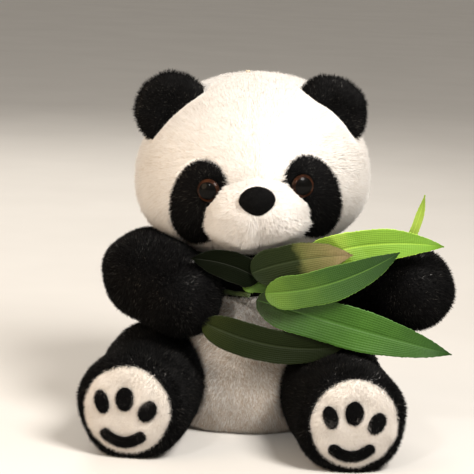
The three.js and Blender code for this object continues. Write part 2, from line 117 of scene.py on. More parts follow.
def circle(count):
    """Angles evenly spaced round a circle."""
    return np.linspace(0, 2 * np.pi, count, endpoint=False)


def waves(points, wavelength, seed, count=14):
    """Smooth noise about zero, and its gradient, from a sum of random plane waves."""
    r = np.random.default_rng(seed)
    k = unit(r.normal(size=(count, 3))) * (2 * np.pi / wavelength) * r.uniform(0.7, 1.5, (count, 1))
    angle = points @ k.T + r.uniform(0, 2 * np.pi, count)
    return np.sin(angle).sum(1) / count**0.5, np.cos(angle) @ k / count**0.5


def turn(axis, degrees):
    return np.array(Matrix.Rotation(math.radians(degrees), 3, axis))


HEAD_TURNED = turn("Z", HEAD_TURN) @ turn("Y", -HEAD_TILT)


def head_to_world(points):
    return points @ HEAD_TURNED.T + HEAD["centre"]


def on_head(points, faces):
    return head_to_world(points), faces


def world_to_head(points):
    return (points - HEAD["centre"]) @ HEAD_TURNED


def spaced_line(path, count):
    """Points and tangents evenly spaced along a centripetal Catmull-Rom curve."""
    p = np.array(path, float)
    p = np.vstack([2 * p[0] - p[1], p, 2 * p[-1] - p[-2]])
    s = np.linspace(0, 1, 60)[:, None]
    parts = []
    for a, b, c, d in zip(p[:-3], p[1:-2], p[2:-1], p[3:]):
        before, here, after = (np.sum((q - r) ** 2) ** 0.25 for q, r in ((b, a), (c, b), (d, c)))
        leave = ((b - a) / before - (c - a) / (before + here) + (c - b) / here) * here
        arrive = ((c - b) / here - (d - b) / (here + after) + (d - c) / after) * here
        bend = -3 * b + 3 * c - 2 * leave - arrive
        twist = 2 * b - 2 * c + leave + arrive
        parts.append(b + leave * s + bend * s**2 + twist * s**3)
    line = np.vstack([part[:-1] for part in parts[:-1]] + [parts[-1]])
    length = np.concatenate([[0], np.cumsum(np.linalg.norm(np.diff(line, axis=0), axis=1))])
    at = np.linspace(0, length[-1], count)
    even = np.stack([np.interp(at, length, line[:, k]) for k in range(3)], 1)
    return even, unit(np.gradient(even, axis=0))


# ---- meshes


def closed(rings, first, last):
    """A closed surface from rings of points and a point at each end: its points and its faces."""
    rings = np.asarray(rings, float)
    rows, cols, _ = rings.shape
    points = np.vstack([rings.reshape(-1, 3), first, last])
    here = np.arange(cols)
    after = (here + 1) % cols
    faces = [(rows * cols, a, b) for a, b in zip(after, here)]
    for row in range(rows - 1):
        low, high = row * cols, (row + 1) * cols
        faces += [(low + a, low + b, high + b, high + a) for a, b in zip(here, after)]
    top = (rows - 1) * cols
    faces += [(rows * cols + 1, top + a, top + b) for a, b in zip(here, after)]
    return outward(points, faces)


def triangles(faces):
    split = []
    for f in faces:
        split += [(f[0], f[k], f[k + 1]) for k in range(1, len(f) - 1)]
    return np.array(split)


def outward(points, faces):
    t = triangles(faces)
    a, b, c = (points[t[:, k]] for k in range(3))
    if np.sum(a * np.cross(b, c)) < 0:
        faces = [tuple(reversed(f)) for f in faces]
    return points, faces


def point_normals(points, faces):
    t = triangles(faces)
    a, b, c = (points[t[:, k]] for k in range(3))
    face = np.cross(b - a, c - a)
    total = np.zeros_like(points)
    for k in range(3):
        np.add.at(total, t[:, k], face)
    return unit(total)


def lumpy(points, faces, height, wavelength, seed, mask=1.0, foot=0.0):
    """Pushes a surface in and out, as fibre stuffing does, and out by the dense foot of its pile."""
    value, _ = waves(points, wavelength, seed)
    return points + point_normals(points, faces) * ((height * value + foot) * mask)[:, None]


def in_metres(points):
    """Points above the floor, in the scene's metres."""
    points = np.array(points, float)
    points[:, 2] = np.maximum(points[:, 2], FLOOR_CLEARANCE)
    return points * MM


def in_scene(name, data):
    obj = bpy.data.objects.new(name, data)
    bpy.context.scene.collection.objects.link(obj)
    return obj


def on_body(data, materials, body, slot):
    """An object from a mesh, smooth and in its materials, that rides on a body."""
    obj = in_scene(data.name, data)
    data.polygons.foreach_set("use_smooth", [True] * len(data.polygons))
    for m in materials:
        data.materials.append(m)
    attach(obj, body)
    return obj


def add(name, points, faces, body, material, node=None, slot=None, fill=None):
    """A skinned mesh on a body. Where it stands for a node, it hides that node."""
    data = bpy.data.meshes.new(name)
    data.from_pydata(in_metres(points).tolist(), [], [tuple(int(i) for i in f) for f in faces])
    materials = material if isinstance(material, list) else [material]
    obj = on_body(data, materials, body, slot or SLOTS[node])
    if node:
        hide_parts(node)
    return obj


# ---- materials


def shader(name, color, roughness, **sockets):
    m = bpy.data.materials.new(name)
    m.use_nodes = True
    bsdf = m.node_tree.nodes["Principled BSDF"]
    bsdf.inputs["Base Color"].default_value = (*color, 1)
    bsdf.inputs["Roughness"].default_value = roughness
    for key, value in sockets.items():
        bsdf.inputs[key.replace("_", " ")].default_value = value
    return m, bsdf, m.node_tree


def node_output(tree, kind, inputs, output=0, **settings):
    """The output of a new shader node, whose inputs are values or the outputs of other nodes."""
    n = tree.nodes.new("ShaderNode" + kind)
    for key, value in settings.items():
        setattr(n, key, value)
    for key, value in inputs.items():
        if isinstance(value, bpy.types.NodeSocket):
            tree.links.new(value, n.inputs[key])
        else:
            n.inputs[key].default_value = value
    return n.outputs[output]


def coordinates(tree):
    return node_output(tree, "TexCoord", {}, "Object")


def noise(tree, source, scale, detail=3.0):
    inputs = {"Vector": source, "Scale": scale, "Detail": detail, "Roughness": 0.6}
    return node_output(tree, "TexNoise", inputs)


def ramp(tree, source, stops):
    n = tree.nodes.new("ShaderNodeValToRGB")
    elements = n.color_ramp.elements
    while len(elements) < len(stops):
        elements.new(0.5)
    for element, (place, color) in zip(elements, stops):
        element.position = place
        element.color = (*color, 1)
    tree.links.new(source, n.inputs["Fac"])
    return n.outputs["Color"]


def bump(tree, bsdf, height, distance):
    normal = node_output(tree, "Bump", {"Distance": distance, "Height": height})
    tree.links.new(normal, bsdf.inputs["Normal"])


def cloth(name, dark, light, scale, roughness=0.95, depth=0.0004, fine=1400, **sockets):
    """Knitted backing, fibre or felt: two tones in soft patches, with a fine grain."""
    m, bsdf, tree = shader(name, light, roughness, **sockets)
    where = coordinates(tree)
    patches = noise(tree, where, scale)
    tree.links.new(ramp(tree, patches, [(0.3, dark), (0.7, light)]), bsdf.inputs["Base Color"])
    bump(tree, bsdf, noise(tree, where, fine, 4), depth)
    return m


def hair(name, color, roughness=0.85, sheen=0.3, **sockets):
    """One tint of pile. Each pile carries several."""
    return shader(name, color, roughness, Sheen_Weight=sheen, Sheen_Roughness=0.4, **sockets)[0]


def hairs(pile, colors):
    tints = ("bright", "cream", "warm", "deep")
    return [hair(f"{pile}_pile_{tint}", color) for tint, color in zip(tints, colors)]


WHITE_HAIR = hairs("white", [(0.85, 0.82, 0.785), (0.835, 0.80, 0.76), (0.79, 0.74, 0.69), (0.69, 0.63, 0.56)])
# Belly tints: three of the white tints and a warm brown one; the brown is painted warm shade, on the same
# white plush as the head
BELLY_HAIR_PAINTED_SHADE = WHITE_HAIR[1:] + [hair("belly_pile_painted_shade", (0.61, 0.50, 0.40))]
SOLE_HAIR = hairs("sole", [(0.77, 0.72, 0.675), (0.73, 0.68, 0.63), (0.68, 0.62, 0.56), (0.61, 0.54, 0.47)])
BLACK_HAIR = [
    hair("black_pile_deep", (0.0025, 0.0025, 0.0026), 0.8, 0.0, Specular_IOR_Level=0.08),
    hair("black_pile", (0.0035, 0.0035, 0.0036), 0.7, 0.0, Specular_IOR_Level=0.12),
    hair("black_pile_soft", (0.005, 0.0046, 0.0044), 0.6, 0.0, Specular_IOR_Level=0.16),
    hair("black_pile_glint", (0.022, 0.019, 0.015), 0.35, 0.0, Specular_IOR_Level=0.4),
]
white_skin = cloth("white_backing", (0.93, 0.89, 0.84), (0.95, 0.92, 0.88), 160)
sole_skin = cloth("sole_backing", (0.74, 0.69, 0.62), (0.82, 0.78, 0.72), 160)
black_skin = cloth("black_backing", (0.002, 0.002, 0.0022), (0.005, 0.005, 0.0052), 160,
                   Specular_IOR_Level=0.1)
pad_skin = cloth("pad_backing", (0.003, 0.003, 0.0032), (0.006, 0.006, 0.0062), 220, Specular_IOR_Level=0.03)
nose_skin = cloth("nose_flock", (0.002, 0.002, 0.002), (0.005, 0.005, 0.005), 500, Specular_IOR_Level=0.1)
base_skin = cloth("base_cloth", (0.70, 0.66, 0.60), (0.82, 0.79, 0.74), 300, depth=0.0003, fine=900)
fibre_skin = cloth("stuffing_fibre", (0.80, 0.80, 0.80), (0.93, 0.93, 0.92), 220, depth=0.001, fine=500)
bean_skin = cloth("bean_bag_cloth", (0.50, 0.43, 0.32), (0.62, 0.55, 0.43), 300)
twisted = {"scale": 900, "depth": 0.0002, "fine": 2500}
white_thread = cloth("white_thread", (0.66, 0.60, 0.50), (0.84, 0.78, 0.68), **twisted)
seam_thread = cloth("seam_thread", (0.80, 0.72, 0.60), (0.90, 0.84, 0.74), **twisted)
knot_thread = cloth("knot_thread", (0.60, 0.50, 0.34), (0.80, 0.70, 0.52), **twisted)
black_thread = cloth("black_thread", (0.008, 0.008, 0.009), (0.02, 0.02, 0.02), **twisted)
stem_skin = cloth("stem_wrap", (0.025, 0.04, 0.012), (0.06, 0.09, 0.025), 260, 0.55, 0.0003, 900)
washer_skin = cloth("washer_plastic", (0.62, 0.60, 0.54), (0.72, 0.70, 0.64), 120, 0.45, 0.00005, 400)
polish = {"Specular_IOR_Level": 0.04, "Coat_Weight": 0.12, "Coat_Roughness": 0.04}
polished = (0.42, 0.00001, 60)
eye_black = cloth("eye_black", (0.0006, 0.0005, 0.0004), (0.0016, 0.0013, 0.001), 300, *polished, **polish)
eye_iris = cloth("eye_iris", (0.006, 0.0025, 0.0015), (0.045, 0.015, 0.006), 260, *polished, **polish)

# ---- pile


def sample(points, faces, density, keep):
    """Evenly scattered roots on a surface, per square millimetre, with the surface's normals."""
    t = triangles(faces)
    normals = point_normals(points, faces)
    a, b, c = (points[t[:, k]] for k in range(3))
    area = 0.5 * np.linalg.norm(np.cross(b - a, c - a), axis=1)
    count = int(area.sum() * density)
    place = (np.arange(count) + random.random(count)) / count
    chosen = np.minimum(np.searchsorted(np.cumsum(area) / area.sum(), place), len(t) - 1)
    r = np.sqrt(random.random(count))[:, None]
    s = random.random(count)[:, None]
    mix = (1 - r, r * (1 - s), r * s)
    root = sum(w * points[t[chosen, k]] for k, w in enumerate(mix))
    normal = unit(sum(w * normals[t[chosen, k]] for k, w in enumerate(mix)))
    kept = keep(root, normal)
    return root[kept], normal[kept]


def strand_mesh(name, root, tip, width, normal, shade, materials, body, slot, bend=None):
    """Closed tapered hairs. Straight ones are slim tetrahedra; bent ones have a ring in the middle."""
    count = len(root)
    along = unit(tip - root)
    side = unit(np.cross(along, normal + 0.01 * random.normal(size=root.shape)))
    other = np.cross(along, side)
    corners = []
    for angle in (0, 2 * np.pi / 3, 4 * np.pi / 3):
        corners.append(side * math.cos(angle) + other * math.sin(angle))
    layers = [root + width[:, None] * corner for corner in corners]
    soft = [unit(normal + 0.55 * corner) for corner in corners]
    if bend is not None:
        middle = root + 0.5 * (tip - root) + bend
        layers += [middle + 0.75 * width[:, None] * corner for corner in corners]
        soft += soft
        pattern = [(0, 2, 1), (0, 1, 4), (0, 4, 3), (1, 2, 5), (1, 5, 4), (2, 0, 3), (2, 3, 5)]
        pattern += [(3, 4, 6), (4, 5, 6), (5, 3, 6)]
    else:
        pattern = [(0, 2, 1), (0, 1, 3), (1, 2, 3), (2, 0, 3)]
    layers.append(tip)
    soft = soft + [unit(normal + 0.3 * along)]
    per = len(layers)
    points = in_metres(np.stack(layers, 1).reshape(-1, 3))
    faces = (np.array(pattern)[None] + per * np.arange(count)[:, None, None]).reshape(-1, 3)
    data = bpy.data.meshes.new(name)
    data.vertices.add(len(points))
    data.vertices.foreach_set("co", points.ravel())
    data.loops.add(faces.size)
    data.loops.foreach_set("vertex_index", faces.ravel().astype(np.int32))
    data.polygons.add(len(faces))
    data.polygons.foreach_set("loop_start", np.arange(0, faces.size, 3, dtype=np.int32))
    data.polygons.foreach_set("material_index", np.repeat(shade, len(pattern)).astype(np.int32))
    data.update(calc_edges=True)
    obj = on_body(data, materials, body, slot)
    data.normals_split_custom_set_from_vertices(np.stack(soft, 1).reshape(-1, 3).tolist())
    return obj


MOST_TRIANGLES = 190000  # in one piece of pile
PILE_FOOT = 0.7  # how far the dense foot of the pile stands out from the cloth
TUFT_PATCH = 14  # how wide the patches are in which the pile leans together
HAIR = {"white_plush": WHITE_HAIR, "sole_plush": SOLE_HAIR}
HAIR.update({slot: BLACK_HAIR for slot in ("black_plush", "pad_plush", "nose_flock")})
# The share of each tint in a pile
SHADES = {"white_plush": (0.4, 0.4, 0.175, 0.025), "sole_plush": (0.4, 0.4, 0.175, 0.025)}
SHADES.update({"black_plush": (0.45, 0.36, 0.17, 0.02), "pad_plush": (0.6, 0.4, 0, 0)})
SHADES["nose_flock"] = (0.5, 0.35, 0.14, 0.01)


def pile(name, body, slot, surface, length, density, comb, keep, width=0.22, lean=0.6, clump=0.35,
         clump_size=3.2, jitter=0.2, shades=None, bent=False, seed=1, smooth_normal=None, materials=None):
    """Grows pile on a surface. comb gives the way it's brushed, and length may vary from place to place."""
    materials = materials or HAIR[slot]
    root, normal = sample(*surface, density, keep)
    if smooth_normal:
        normal = smooth_normal(root)
    count = len(root)
    brushed = along_surface(comb(root, normal), normal)
    value, pull = waves(root, clump_size, seed)
    pull = -unit(along_surface(pull, normal)) * (1 - np.abs(value).clip(0, 1))[:, None]
    drift, _ = waves(root, TUFT_PATCH, seed + 1)
    drift2, _ = waves(root + 100, TUFT_PATCH, seed + 2)
    wander = np.stack([drift, drift2, drift * drift2], 1) * 0.12
    way = normal + lean * brushed + clump * pull + wander + jitter * random.normal(size=(count, 3))
    way = unit(way)
    tall = length(root) if callable(length) else np.full(count, float(length))
    tall = tall * (1 + 0.16 * random.normal(size=count)).clip(0.55, 1.4) * (1 + 0.12 * value)
    thick = width * (1 + 0.2 * random.normal(size=count)).clip(0.5, 1.6)
    start = root - 0.5 * normal
    tip = root + way * tall[:, None]
    bend = None
    if bent:
        bend = normal * (0.16 * tall)[:, None] + 0.05 * tall[:, None] * random.normal(size=(count, 3))
    # Random tone and the patchy drift, plus deeper tints where the clump noise is low and hairs are shorter:
    # painted shade in the hollows between tufts
    tone = random.random(count) + 0.05 * drift - 0.05 * value
    edges = np.cumsum(shades or SHADES[slot])[:-1]
    shade = np.searchsorted(edges, tone)
    shade = np.clip(shade, 0, len(materials) - 1)
    per = 10 if bent else 4
    parts = max(1, math.ceil(count * per / MOST_TRIANGLES))
    middle = root.mean(0)
    around = np.argsort(np.arctan2(root[:, 0] - middle[0], -(root[:, 1] - middle[1])), kind="stable")
    made = []
    for k, chunk in enumerate(np.array_split(around, parts)):
        label = name if parts == 1 else f"{name}_{k + 1}"
        made.append(strand_mesh(label, start[chunk], tip[chunk], thick[chunk], normal[chunk], shade[chunk],
                                materials, body, slot, None if bend is None else bend[chunk]))
    return made


def steady(*way):
    """Pile that's brushed one way all over."""
    return lambda p, n: np.array(way) + 0 * p


# ---- shapes


class Limb:
    """A bent, stuffed tube with a ball at its joint and a rounded end."""

    def __init__(self, path, radii, cap=None):
        self.line, self.tangent = spaced_line(path, 61)
        t = np.linspace(0, 1, 61)
        a, b, c = radii
        self.radius = (1 - t) * (1 - 2 * t) * a + 4 * t * (1 - t) * b + t * (2 * t - 1) * c
        self.cap = cap
        self.sideways = unit(np.cross(self.tangent, (0, 0, 1)))
        self.upright = np.cross(self.sideways, self.tangent)

    def ring(self, k, radius, reach, cols):
        angle = circle(cols)[:, None]
        centre = self.line[k] + self.tangent[k] * reach
        return centre + radius * (self.sideways[k] * np.cos(angle) + self.upright[k] * np.sin(angle))

    def surface(self, cols=72):
        rings = []
        first, last = self.radius[0], self.radius[-1]
        for theta in np.linspace(0, np.pi / 2, 15)[1:]:
            rings.append(self.ring(0, first * math.sin(theta), -first * math.cos(theta), cols))
        for k in range(1, 60):
            rings.append(self.ring(k, self.radius[k], 0, cols))
        depth = last if self.cap is None else self.cap
        power = 1 if self.cap is None else 0.6
        for theta in np.linspace(0, np.pi / 2, 19)[:-1]:
            rings.append(self.ring(-1, last * math.cos(theta) ** power, depth * math.sin(theta), cols))
        end = self.line[-1] + self.tangent[-1] * depth
        return closed(rings, self.line[0] - self.tangent[0] * first, end)

    def distances(self, points):
        return np.stack([np.linalg.norm(points - centre, axis=1) for centre in self.line[::3]])

    def clearance(self, points):
        """How far each point is outside the limb."""
        return np.min(self.distances(points) - self.radius[::3, None], axis=0)

    def comb(self, points, normals):
        return self.tangent[3 * np.argmin(self.distances(points), axis=0)] + np.array([0, 0, -0.25])

    def sole_height(self, r):
        return self.cap * np.sqrt(np.maximum(0, 1 - (r / self.radius[-1]) ** (2 / 0.6)))

    def on_sole(self, across, up, lift):
        """Points over the sole, from how far across and up they are from its middle."""
        r = np.hypot(across, up)
        reach = self.sole_height(r) + lift
        out = self.line[-1] + self.tangent[-1] * reach[..., None]
        return out - self.sideways[-1] * across[..., None] + self.upright[-1] * up[..., None]

    def sole_place(self, points):
        from_end = points - self.line[-1]
        return -from_end @ self.sideways[-1], from_end @ self.upright[-1], from_end @ self.tangent[-1]


arms = {side: Limb(*args) for side, args in ARMS.items()}
legs = {side: Limb(*args, cap=FOOT_CAP) for side, args in LEGS.items()}


def spun(profile, cols):
    """Rings about the upright axis from radii and heights."""
    angle = circle(cols)
    x, y = np.cos(angle), np.sin(angle)
    return np.array([np.stack([r * x, r * y, np.full(cols, h)], -1) for r, h in profile])


def ball_rings(rows, cols, pole):
    """Rings of unit directions about a pole, from near it to near its opposite."""
    theta = np.linspace(0, np.pi, rows + 1)[1:-1][:, None]
    phi = circle(cols)[None]
    along = np.cos(theta) * np.ones_like(phi)
    a, b = np.sin(theta) * np.cos(phi), np.sin(theta) * np.sin(phi)
    return np.stack((b, along, a) if pole == "y" else (a, b, along), -1)


def head_gauge(p, grow=0.0):
    """1 on the head's surface, less inside it. It scales with distance from the middle."""
    power = np.where(p[..., 2] < 0, CHEEK_POWER, 2.0)
    tall = np.where(p[..., 2] < 0, HEAD["down"], HEAD["up"]) + grow
    ring = np.hypot(p[..., 0] / (HEAD["half_width"] + grow), p[..., 1] / (HEAD["half_depth"] + grow))
    return (ring**power + np.abs(p[..., 2] / tall) ** power) ** (1 / power)


def out_of_head(p, grow):
    g = head_gauge(p, grow)
    return np.where((g < 1)[..., None], p / np.maximum(g, 1e-6)[..., None], p)


def head_normal(p, grow=0.0):
    step = 0.05
    g = [head_gauge(p + step * way, grow) - head_gauge(p - step * way, grow) for way in np.eye(3)]
    return unit(np.stack(g, -1))


def in_muzzle(p, grow=0.0):
    q = (p - MUZZLE_MIDDLE) / (MUZZLE_SIZE + grow)
    return np.sum(q * q, -1)


def in_patch(p, side, grow=0.0):
    """Less than 1 inside the eye patch's oval, seen along its cut."""
    a = math.radians(-side * PATCH["slant"])
    x, z = p[..., 0] - side * PATCH["x"], p[..., 2] - PATCH["z"]
    u, w = x * math.cos(a) - z * math.sin(a), x * math.sin(a) + z * math.cos(a)
    oval = (u / (PATCH["half_width"] + grow)) ** 2 + (w / (PATCH["half_length"] + grow)) ** 2
    return np.where(p[..., 1] < 0, oval, 9.0)


def torso_profile():
    t = np.linspace(0, 1, 200)[:, None]
    ends = (TORSO["base"], 0), (TORSO["neck"], TORSO["height"])
    p = np.array([ends[0], TORSO["lower"], TORSO["upper"], ends[1]], float)
    return (1 - t) ** 3 * p[0] + 3 * t * (1 - t) ** 2 * p[1] + 3 * t**2 * (1 - t) * p[2] + t**3 * p[3]


PROFILE = torso_profile()


def torso_radius(z):
    return np.interp(z, PROFILE[:, 1], PROFILE[:, 0])


def in_torso(p, grow=0.0):
    r = np.hypot(p[..., 0], p[..., 1] / TORSO["depth"])
    return (r < torso_radius(p[..., 2]) + grow) & (p[..., 2] > -1) & (p[..., 2] < TORSO["height"] + grow)


def limb_room(points, room_arm, room_leg):
    """How far each point is outside the room that the limbs need."""
    rooms = [arm.clearance(points) - room_arm for arm in arms.values()]
    return np.min(rooms + [leg.clearance(points) - room_leg for leg in legs.values()], axis=0)


def dented(points):
    """Moves torso points that a limb presses on towards the middle, until the limb is clear."""
    middle = np.array([0, 0, 45.0])
    points = points.copy()
    for _ in range(80):
        pressed = limb_room(points, 1.0, 1.5) < 0
        if not pressed.any():
            break
        way = middle - points[pressed]
        way[:, 2] *= 0.25
        points[pressed] += unit(way) * 0.5
    return points

# ---- torso


def lathe_rings(low, high, rows):
    """Rings of the torso between two heights along its profile, from the bottom up."""
    line = PROFILE[(PROFILE[:, 1] >= low) & (PROFILE[:, 1] <= high)]
    length = np.concatenate([[0], np.cumsum(np.linalg.norm(np.diff(line, axis=0), axis=1))])
    at = np.linspace(0, length[-1], rows)
    profile = zip(np.interp(at, length, line[:, 0]), np.interp(at, length, line[:, 1]))
    return spun(profile, 96) * (1, TORSO["depth"], 1)


def down_the_torso(p, n):
    return np.array([0, 0, -0.9]) + 0.15 * unit(p * np.array([1, 1, 0]))


def torso_open(p, n):
    return (limb_room(p, -1.0, -1.0) > 0) & (n[:, 2] > -0.97) & (np.hypot(p[:, 0], p[:, 1]) > 10)


belly_rings = lathe_rings(0.6, YOKE_EDGE, 46)
belly = closed(belly_rings, (0, 0, 0.9), (0, 0, YOKE_EDGE - 0.15))
belly = (lumpy(*belly, height=0.8, wavelength=34, seed=21, foot=PILE_FOOT), belly[1])
belly = (dented(belly[0]), belly[1])
add("belly_cover_cloth", *belly, "torso", white_skin, "belly_cover", fill=0.8)
# The belly pile leans to its deeper tints: painted shade
pile("belly_pile", "torso", "white_plush", belly, *PILE["belly"], down_the_torso,
     lambda p, n: torso_open(p, n) & (p[:, 2] < YOKE_EDGE - 0.5),
     shades=(0.1, 0.2, 0.3, 0.4), seed=31, materials=BELLY_HAIR_PAINTED_SHADE)

yoke_rings = lathe_rings(YOKE_EDGE + 0.15, TORSO["height"] - 0.1, 16)
yoke = closed(yoke_rings, (0, 0, YOKE_EDGE + 0.15), (0, 0, TORSO["height"]))
yoke = (lumpy(*yoke, height=0.5, wavelength=26, seed=22, foot=PILE_FOOT), yoke[1])
yoke = (dented(yoke[0]), yoke[1])
add("shoulder_yoke_cloth", *yoke, "torso", black_skin, "shoulder_yoke", fill=0.8)
pile("shoulder_pile", "torso", "black_plush", yoke, *PILE["shoulder"], down_the_torso,
     lambda p, n: torso_open(p, n) & (p[:, 2] > YOKE_EDGE + 0.3) & (np.hypot(p[:, 0], p[:, 1]) > 19),
     seed=32)


def disc(radius, thickness, rim=0.8, rows=18):
    """A flat round panel with a rounded rim, its underside on z = 0."""
    spread = np.linspace(radius / rows, radius - rim, rows)
    profile = [(r, 0) for r in spread]
    for a in np.radians(np.linspace(-80, 80, 7)):
        profile.append((radius - rim + rim * math.cos(a), thickness / 2 * (1 + math.sin(a))))
    profile += [(r, thickness) for r in spread[::-1]]
    return closed(spun(profile, 72), (0, 0, 0), (0, 0, thickness))


panel = disc(BASE_PANEL, 1.5)
panel_quilt, _ = waves(panel[0], 9, 41)
panel[0][:, 2] += np.where(panel[0][:, 2] > 1, 0.25 * panel_quilt, 0)
add("base_panel_cloth", *panel, "torso", base_skin, "base_panel")


def rope(path, radius, plies=2, twist=0.6, cols=8, closed_loop=True):
    """A plied thread along a path: plies tubes that wind round each other."""
    path = np.array(path, float)
    if closed_loop:
        tangent = unit(np.roll(path, -1, 0) - np.roll(path, 1, 0))
    else:
        tangent = unit(np.gradient(path, axis=0))
    side = unit(np.cross(tangent, (0.13, 0.21, 0.97)))
    other = np.cross(tangent, side)
    step = np.linalg.norm(np.diff(path, axis=0), axis=1)
    length = np.concatenate([[0], np.cumsum(step)])
    turns = length * twist / (2 * radius)
    if closed_loop:
        whole = length[-1] + step[-1]
        turns = length / whole * 2 * np.pi * max(1, round(whole * twist / (2 * radius) / (2 * np.pi)))
    points, faces = [], []
    n = len(path)
    for ply in range(plies):
        a = (turns + 2 * np.pi * ply / plies)[:, None]
        centre = path + radius * 0.48 * (side * np.cos(a) + other * np.sin(a))
        base = len(points) * n * cols
        angle = circle(cols)[None, :, None]
        out = side[:, None] * np.cos(angle) + other[:, None] * np.sin(angle)
        ring = centre[:, None] + 0.56 * radius * out
        points.append(ring.reshape(-1, 3))
        last = n if closed_loop else n - 1
        for i in range(last):
            here, there = base + i * cols, base + (i + 1) % n * cols
            for c in range(cols):
                d = (c + 1) % cols
                faces.append((here + c, here + d, there + d, there + c))
        if not closed_loop:
            faces.append(tuple(base + c for c in range(cols)))
            faces.append(tuple(base + (n - 1) * cols + c for c in reversed(range(cols))))
    return outward(np.vstack(points), faces)


neck_angle = circle(260)
neck_radius = NECK_STITCHES["radius"] + NECK_STITCHES["zigzag"] * np.sin(neck_angle * NECK_STITCHES["count"])
neck_x, neck_y = neck_radius * np.cos(neck_angle), neck_radius * np.sin(neck_angle)
neck_loop = np.stack([neck_x, neck_y, NECK_STITCHES["z"] + 0 * neck_angle], 1)
add("neck_ladder_stitch", *rope(neck_loop, 0.75), "neck", white_thread, "neck_stitching")

tail_middle, tail_end = np.array([0, TAIL["y"], TAIL["z"]]), np.array([0, 0, TAIL["size"][2]])
tail_rings = ball_rings(26, 44, "z") * np.array(TAIL["size"], float) + tail_middle
tail = closed(tail_rings, tail_middle + tail_end, tail_middle - tail_end)


def out_of_torso(points, grow):
    r = np.hypot(points[:, 0], points[:, 1] / TORSO["depth"])
    wide = torso_radius(points[:, 2]) + grow
    push = np.where(r < wide, wide / np.maximum(r, 1e-6), 1)
    return points * np.stack([push, push, np.ones_like(push)], 1)


tail_skin = lumpy(*tail, height=0.5, wavelength=12, seed=23, foot=PILE_FOOT)
tail = (out_of_torso(tail_skin, 1.6), tail[1])
add("tail_cloth", *tail, "torso", white_skin, "tail", fill=0.7)
pile("tail_pile", "torso", "white_plush", tail, *PILE["tail"],
     steady(0, 0.3, -0.9),
     lambda p, n: p[:, 1] > torso_radius(p[:, 2]) * TORSO["depth"] + 2, seed=33)

# ---- head


def head_surface(side):
    """One half of the head cover, from its cheek to the seam down its middle, with a flat inner face."""
    rows, cols = 84, 132
    theta = np.linspace(0, np.pi / 2, rows + 1)[1:][:, None]
    theta = theta ** 0.92 * (np.pi / 2) ** 0.08
    phi = circle(cols)[None]
    across = side * np.cos(theta) * np.ones_like(phi)
    way = np.stack([across, np.sin(theta) * np.sin(phi), np.sin(theta) * np.cos(phi)], -1)
    rings = way / np.maximum(head_gauge(way), 1e-9)[..., None]
    pole = np.array([side * 1.0, 0, 0])
    pole = pole / head_gauge(pole[None])[:, None]
    rings = rings.reshape(-1, 3)
    rings[:, 0] += side * 0.04 * np.exp(-((rings[:, 0] / 2) ** 2))
    value, _ = waves(rings, 38, 24)
    seam = np.exp(-((rings[:, 0] / 2.4) ** 2))
    normal = head_normal(rings)
    covered = (in_patch(rings, side, 0.5) < 1) | (in_muzzle(rings, -0.5) < 1)
    foot = np.where(covered, -0.2, PILE_FOOT + 0.5 * value * (1 - seam) - 0.15 * seam)
    rings = rings + normal * foot[:, None]
    return closed(rings.reshape(rows, cols, 3), pole[0], (side * 0.04, 0, 0))


def eye_place(side):
    x, z = side * EYE["x"], EYE["z"]
    ring = (1 - (abs(z) / HEAD["down"]) ** CHEEK_POWER) ** (1 / CHEEK_POWER)
    y = -HEAD["half_depth"] * math.sqrt(ring**2 - (x / HEAD["half_width"]) ** 2)
    outward_way = np.array([x / HEAD["half_width"] ** 2, y / HEAD["half_depth"] ** 2, z / HEAD["up"] ** 2])
    outward_way /= np.linalg.norm(outward_way)
    return np.array([x, y, z]), outward_way


eyes = {side: eye_place(side) for side in (-1, 1)}
NAMES = {-1: "right", 1: "left"}


def near_eye(p, radius):
    return np.min([np.linalg.norm(p - place, axis=1) for place, _ in eyes.values()], axis=0) < radius


def head_brush(world, n):
    """The head's pile runs away from the muzzle all round, over the head and down to the neck."""
    p = world_to_head(world)
    from_muzzle = p - np.array([0, MUZZLE["y"] - MUZZLE["reach"], MUZZLE["z"]])
    to_neck = np.array([0, 0, -HEAD["down"]]) - p
    way = sum(w / np.sum(w**2, 1, keepdims=True) for w in (from_muzzle, to_neck))
    way = along_surface(60 * way @ HEAD_TURNED.T, n)
    size = np.linalg.norm(way, axis=1, keepdims=True)
    return unit(way) * np.minimum(1, 6 * size)


def head_open(world, n):
    p = world_to_head(world)
    flat_side = np.abs(p[:, 0]) < 0.08
    under_muzzle = (in_muzzle(p, -1.0) < 1) & (p[:, 1] < 0)
    brow = 0.2 + 1.8 * ((p[:, 2] - PATCH["z"]) / PATCH["half_length"]).clip(0, 1)
    under_patch = (in_patch(p, -1, brow) < 1) | (in_patch(p, 1, brow) < 1)
    neck = (p[:, 2] < -HEAD["down"] + 2.5) & (np.hypot(p[:, 0], p[:, 1]) < 17)
    return ~flat_side & ~under_muzzle & ~under_patch & ~neck & (np.linalg.norm(p, axis=1) > 30)


def head_length(world):
    """Full over the head, and clipped short round the ears."""
    p = world_to_head(world)
    near = np.zeros(len(p))
    for x, z in EAR_PLACES.values():
        beside = np.maximum(np.abs(p[:, 1] - EAR["y"]) - EAR["half_depth"], 0)
        past = np.maximum(np.hypot(p[:, 0] - x, p[:, 2] - z) - EAR["radius"], 0)
        near = np.maximum(near, np.exp(-(((beside + past) / 2.5) ** 2)))
    return HEAD_PILE["length"] - HEAD_PILE["shorter"] * near


def head_world_normal(world):
    return head_normal(world_to_head(world)) @ HEAD_TURNED.T


for side, label in NAMES.items():
    surface = on_head(*head_surface(side))
    add(f"{label}_head_cover_cloth", *surface, "head", white_skin, f"{label}_head_cover", fill=0.9)
    pile(f"{label}_head_pile", "head", "white_plush", surface, head_length, HEAD_PILE["density"],
         head_brush, head_open,
         width=0.2, lean=1.25, clump=0.22, jitter=0.2, shades=(0.35, 0.35, 0.2, 0.1), seed=34,
         smooth_normal=head_world_normal)

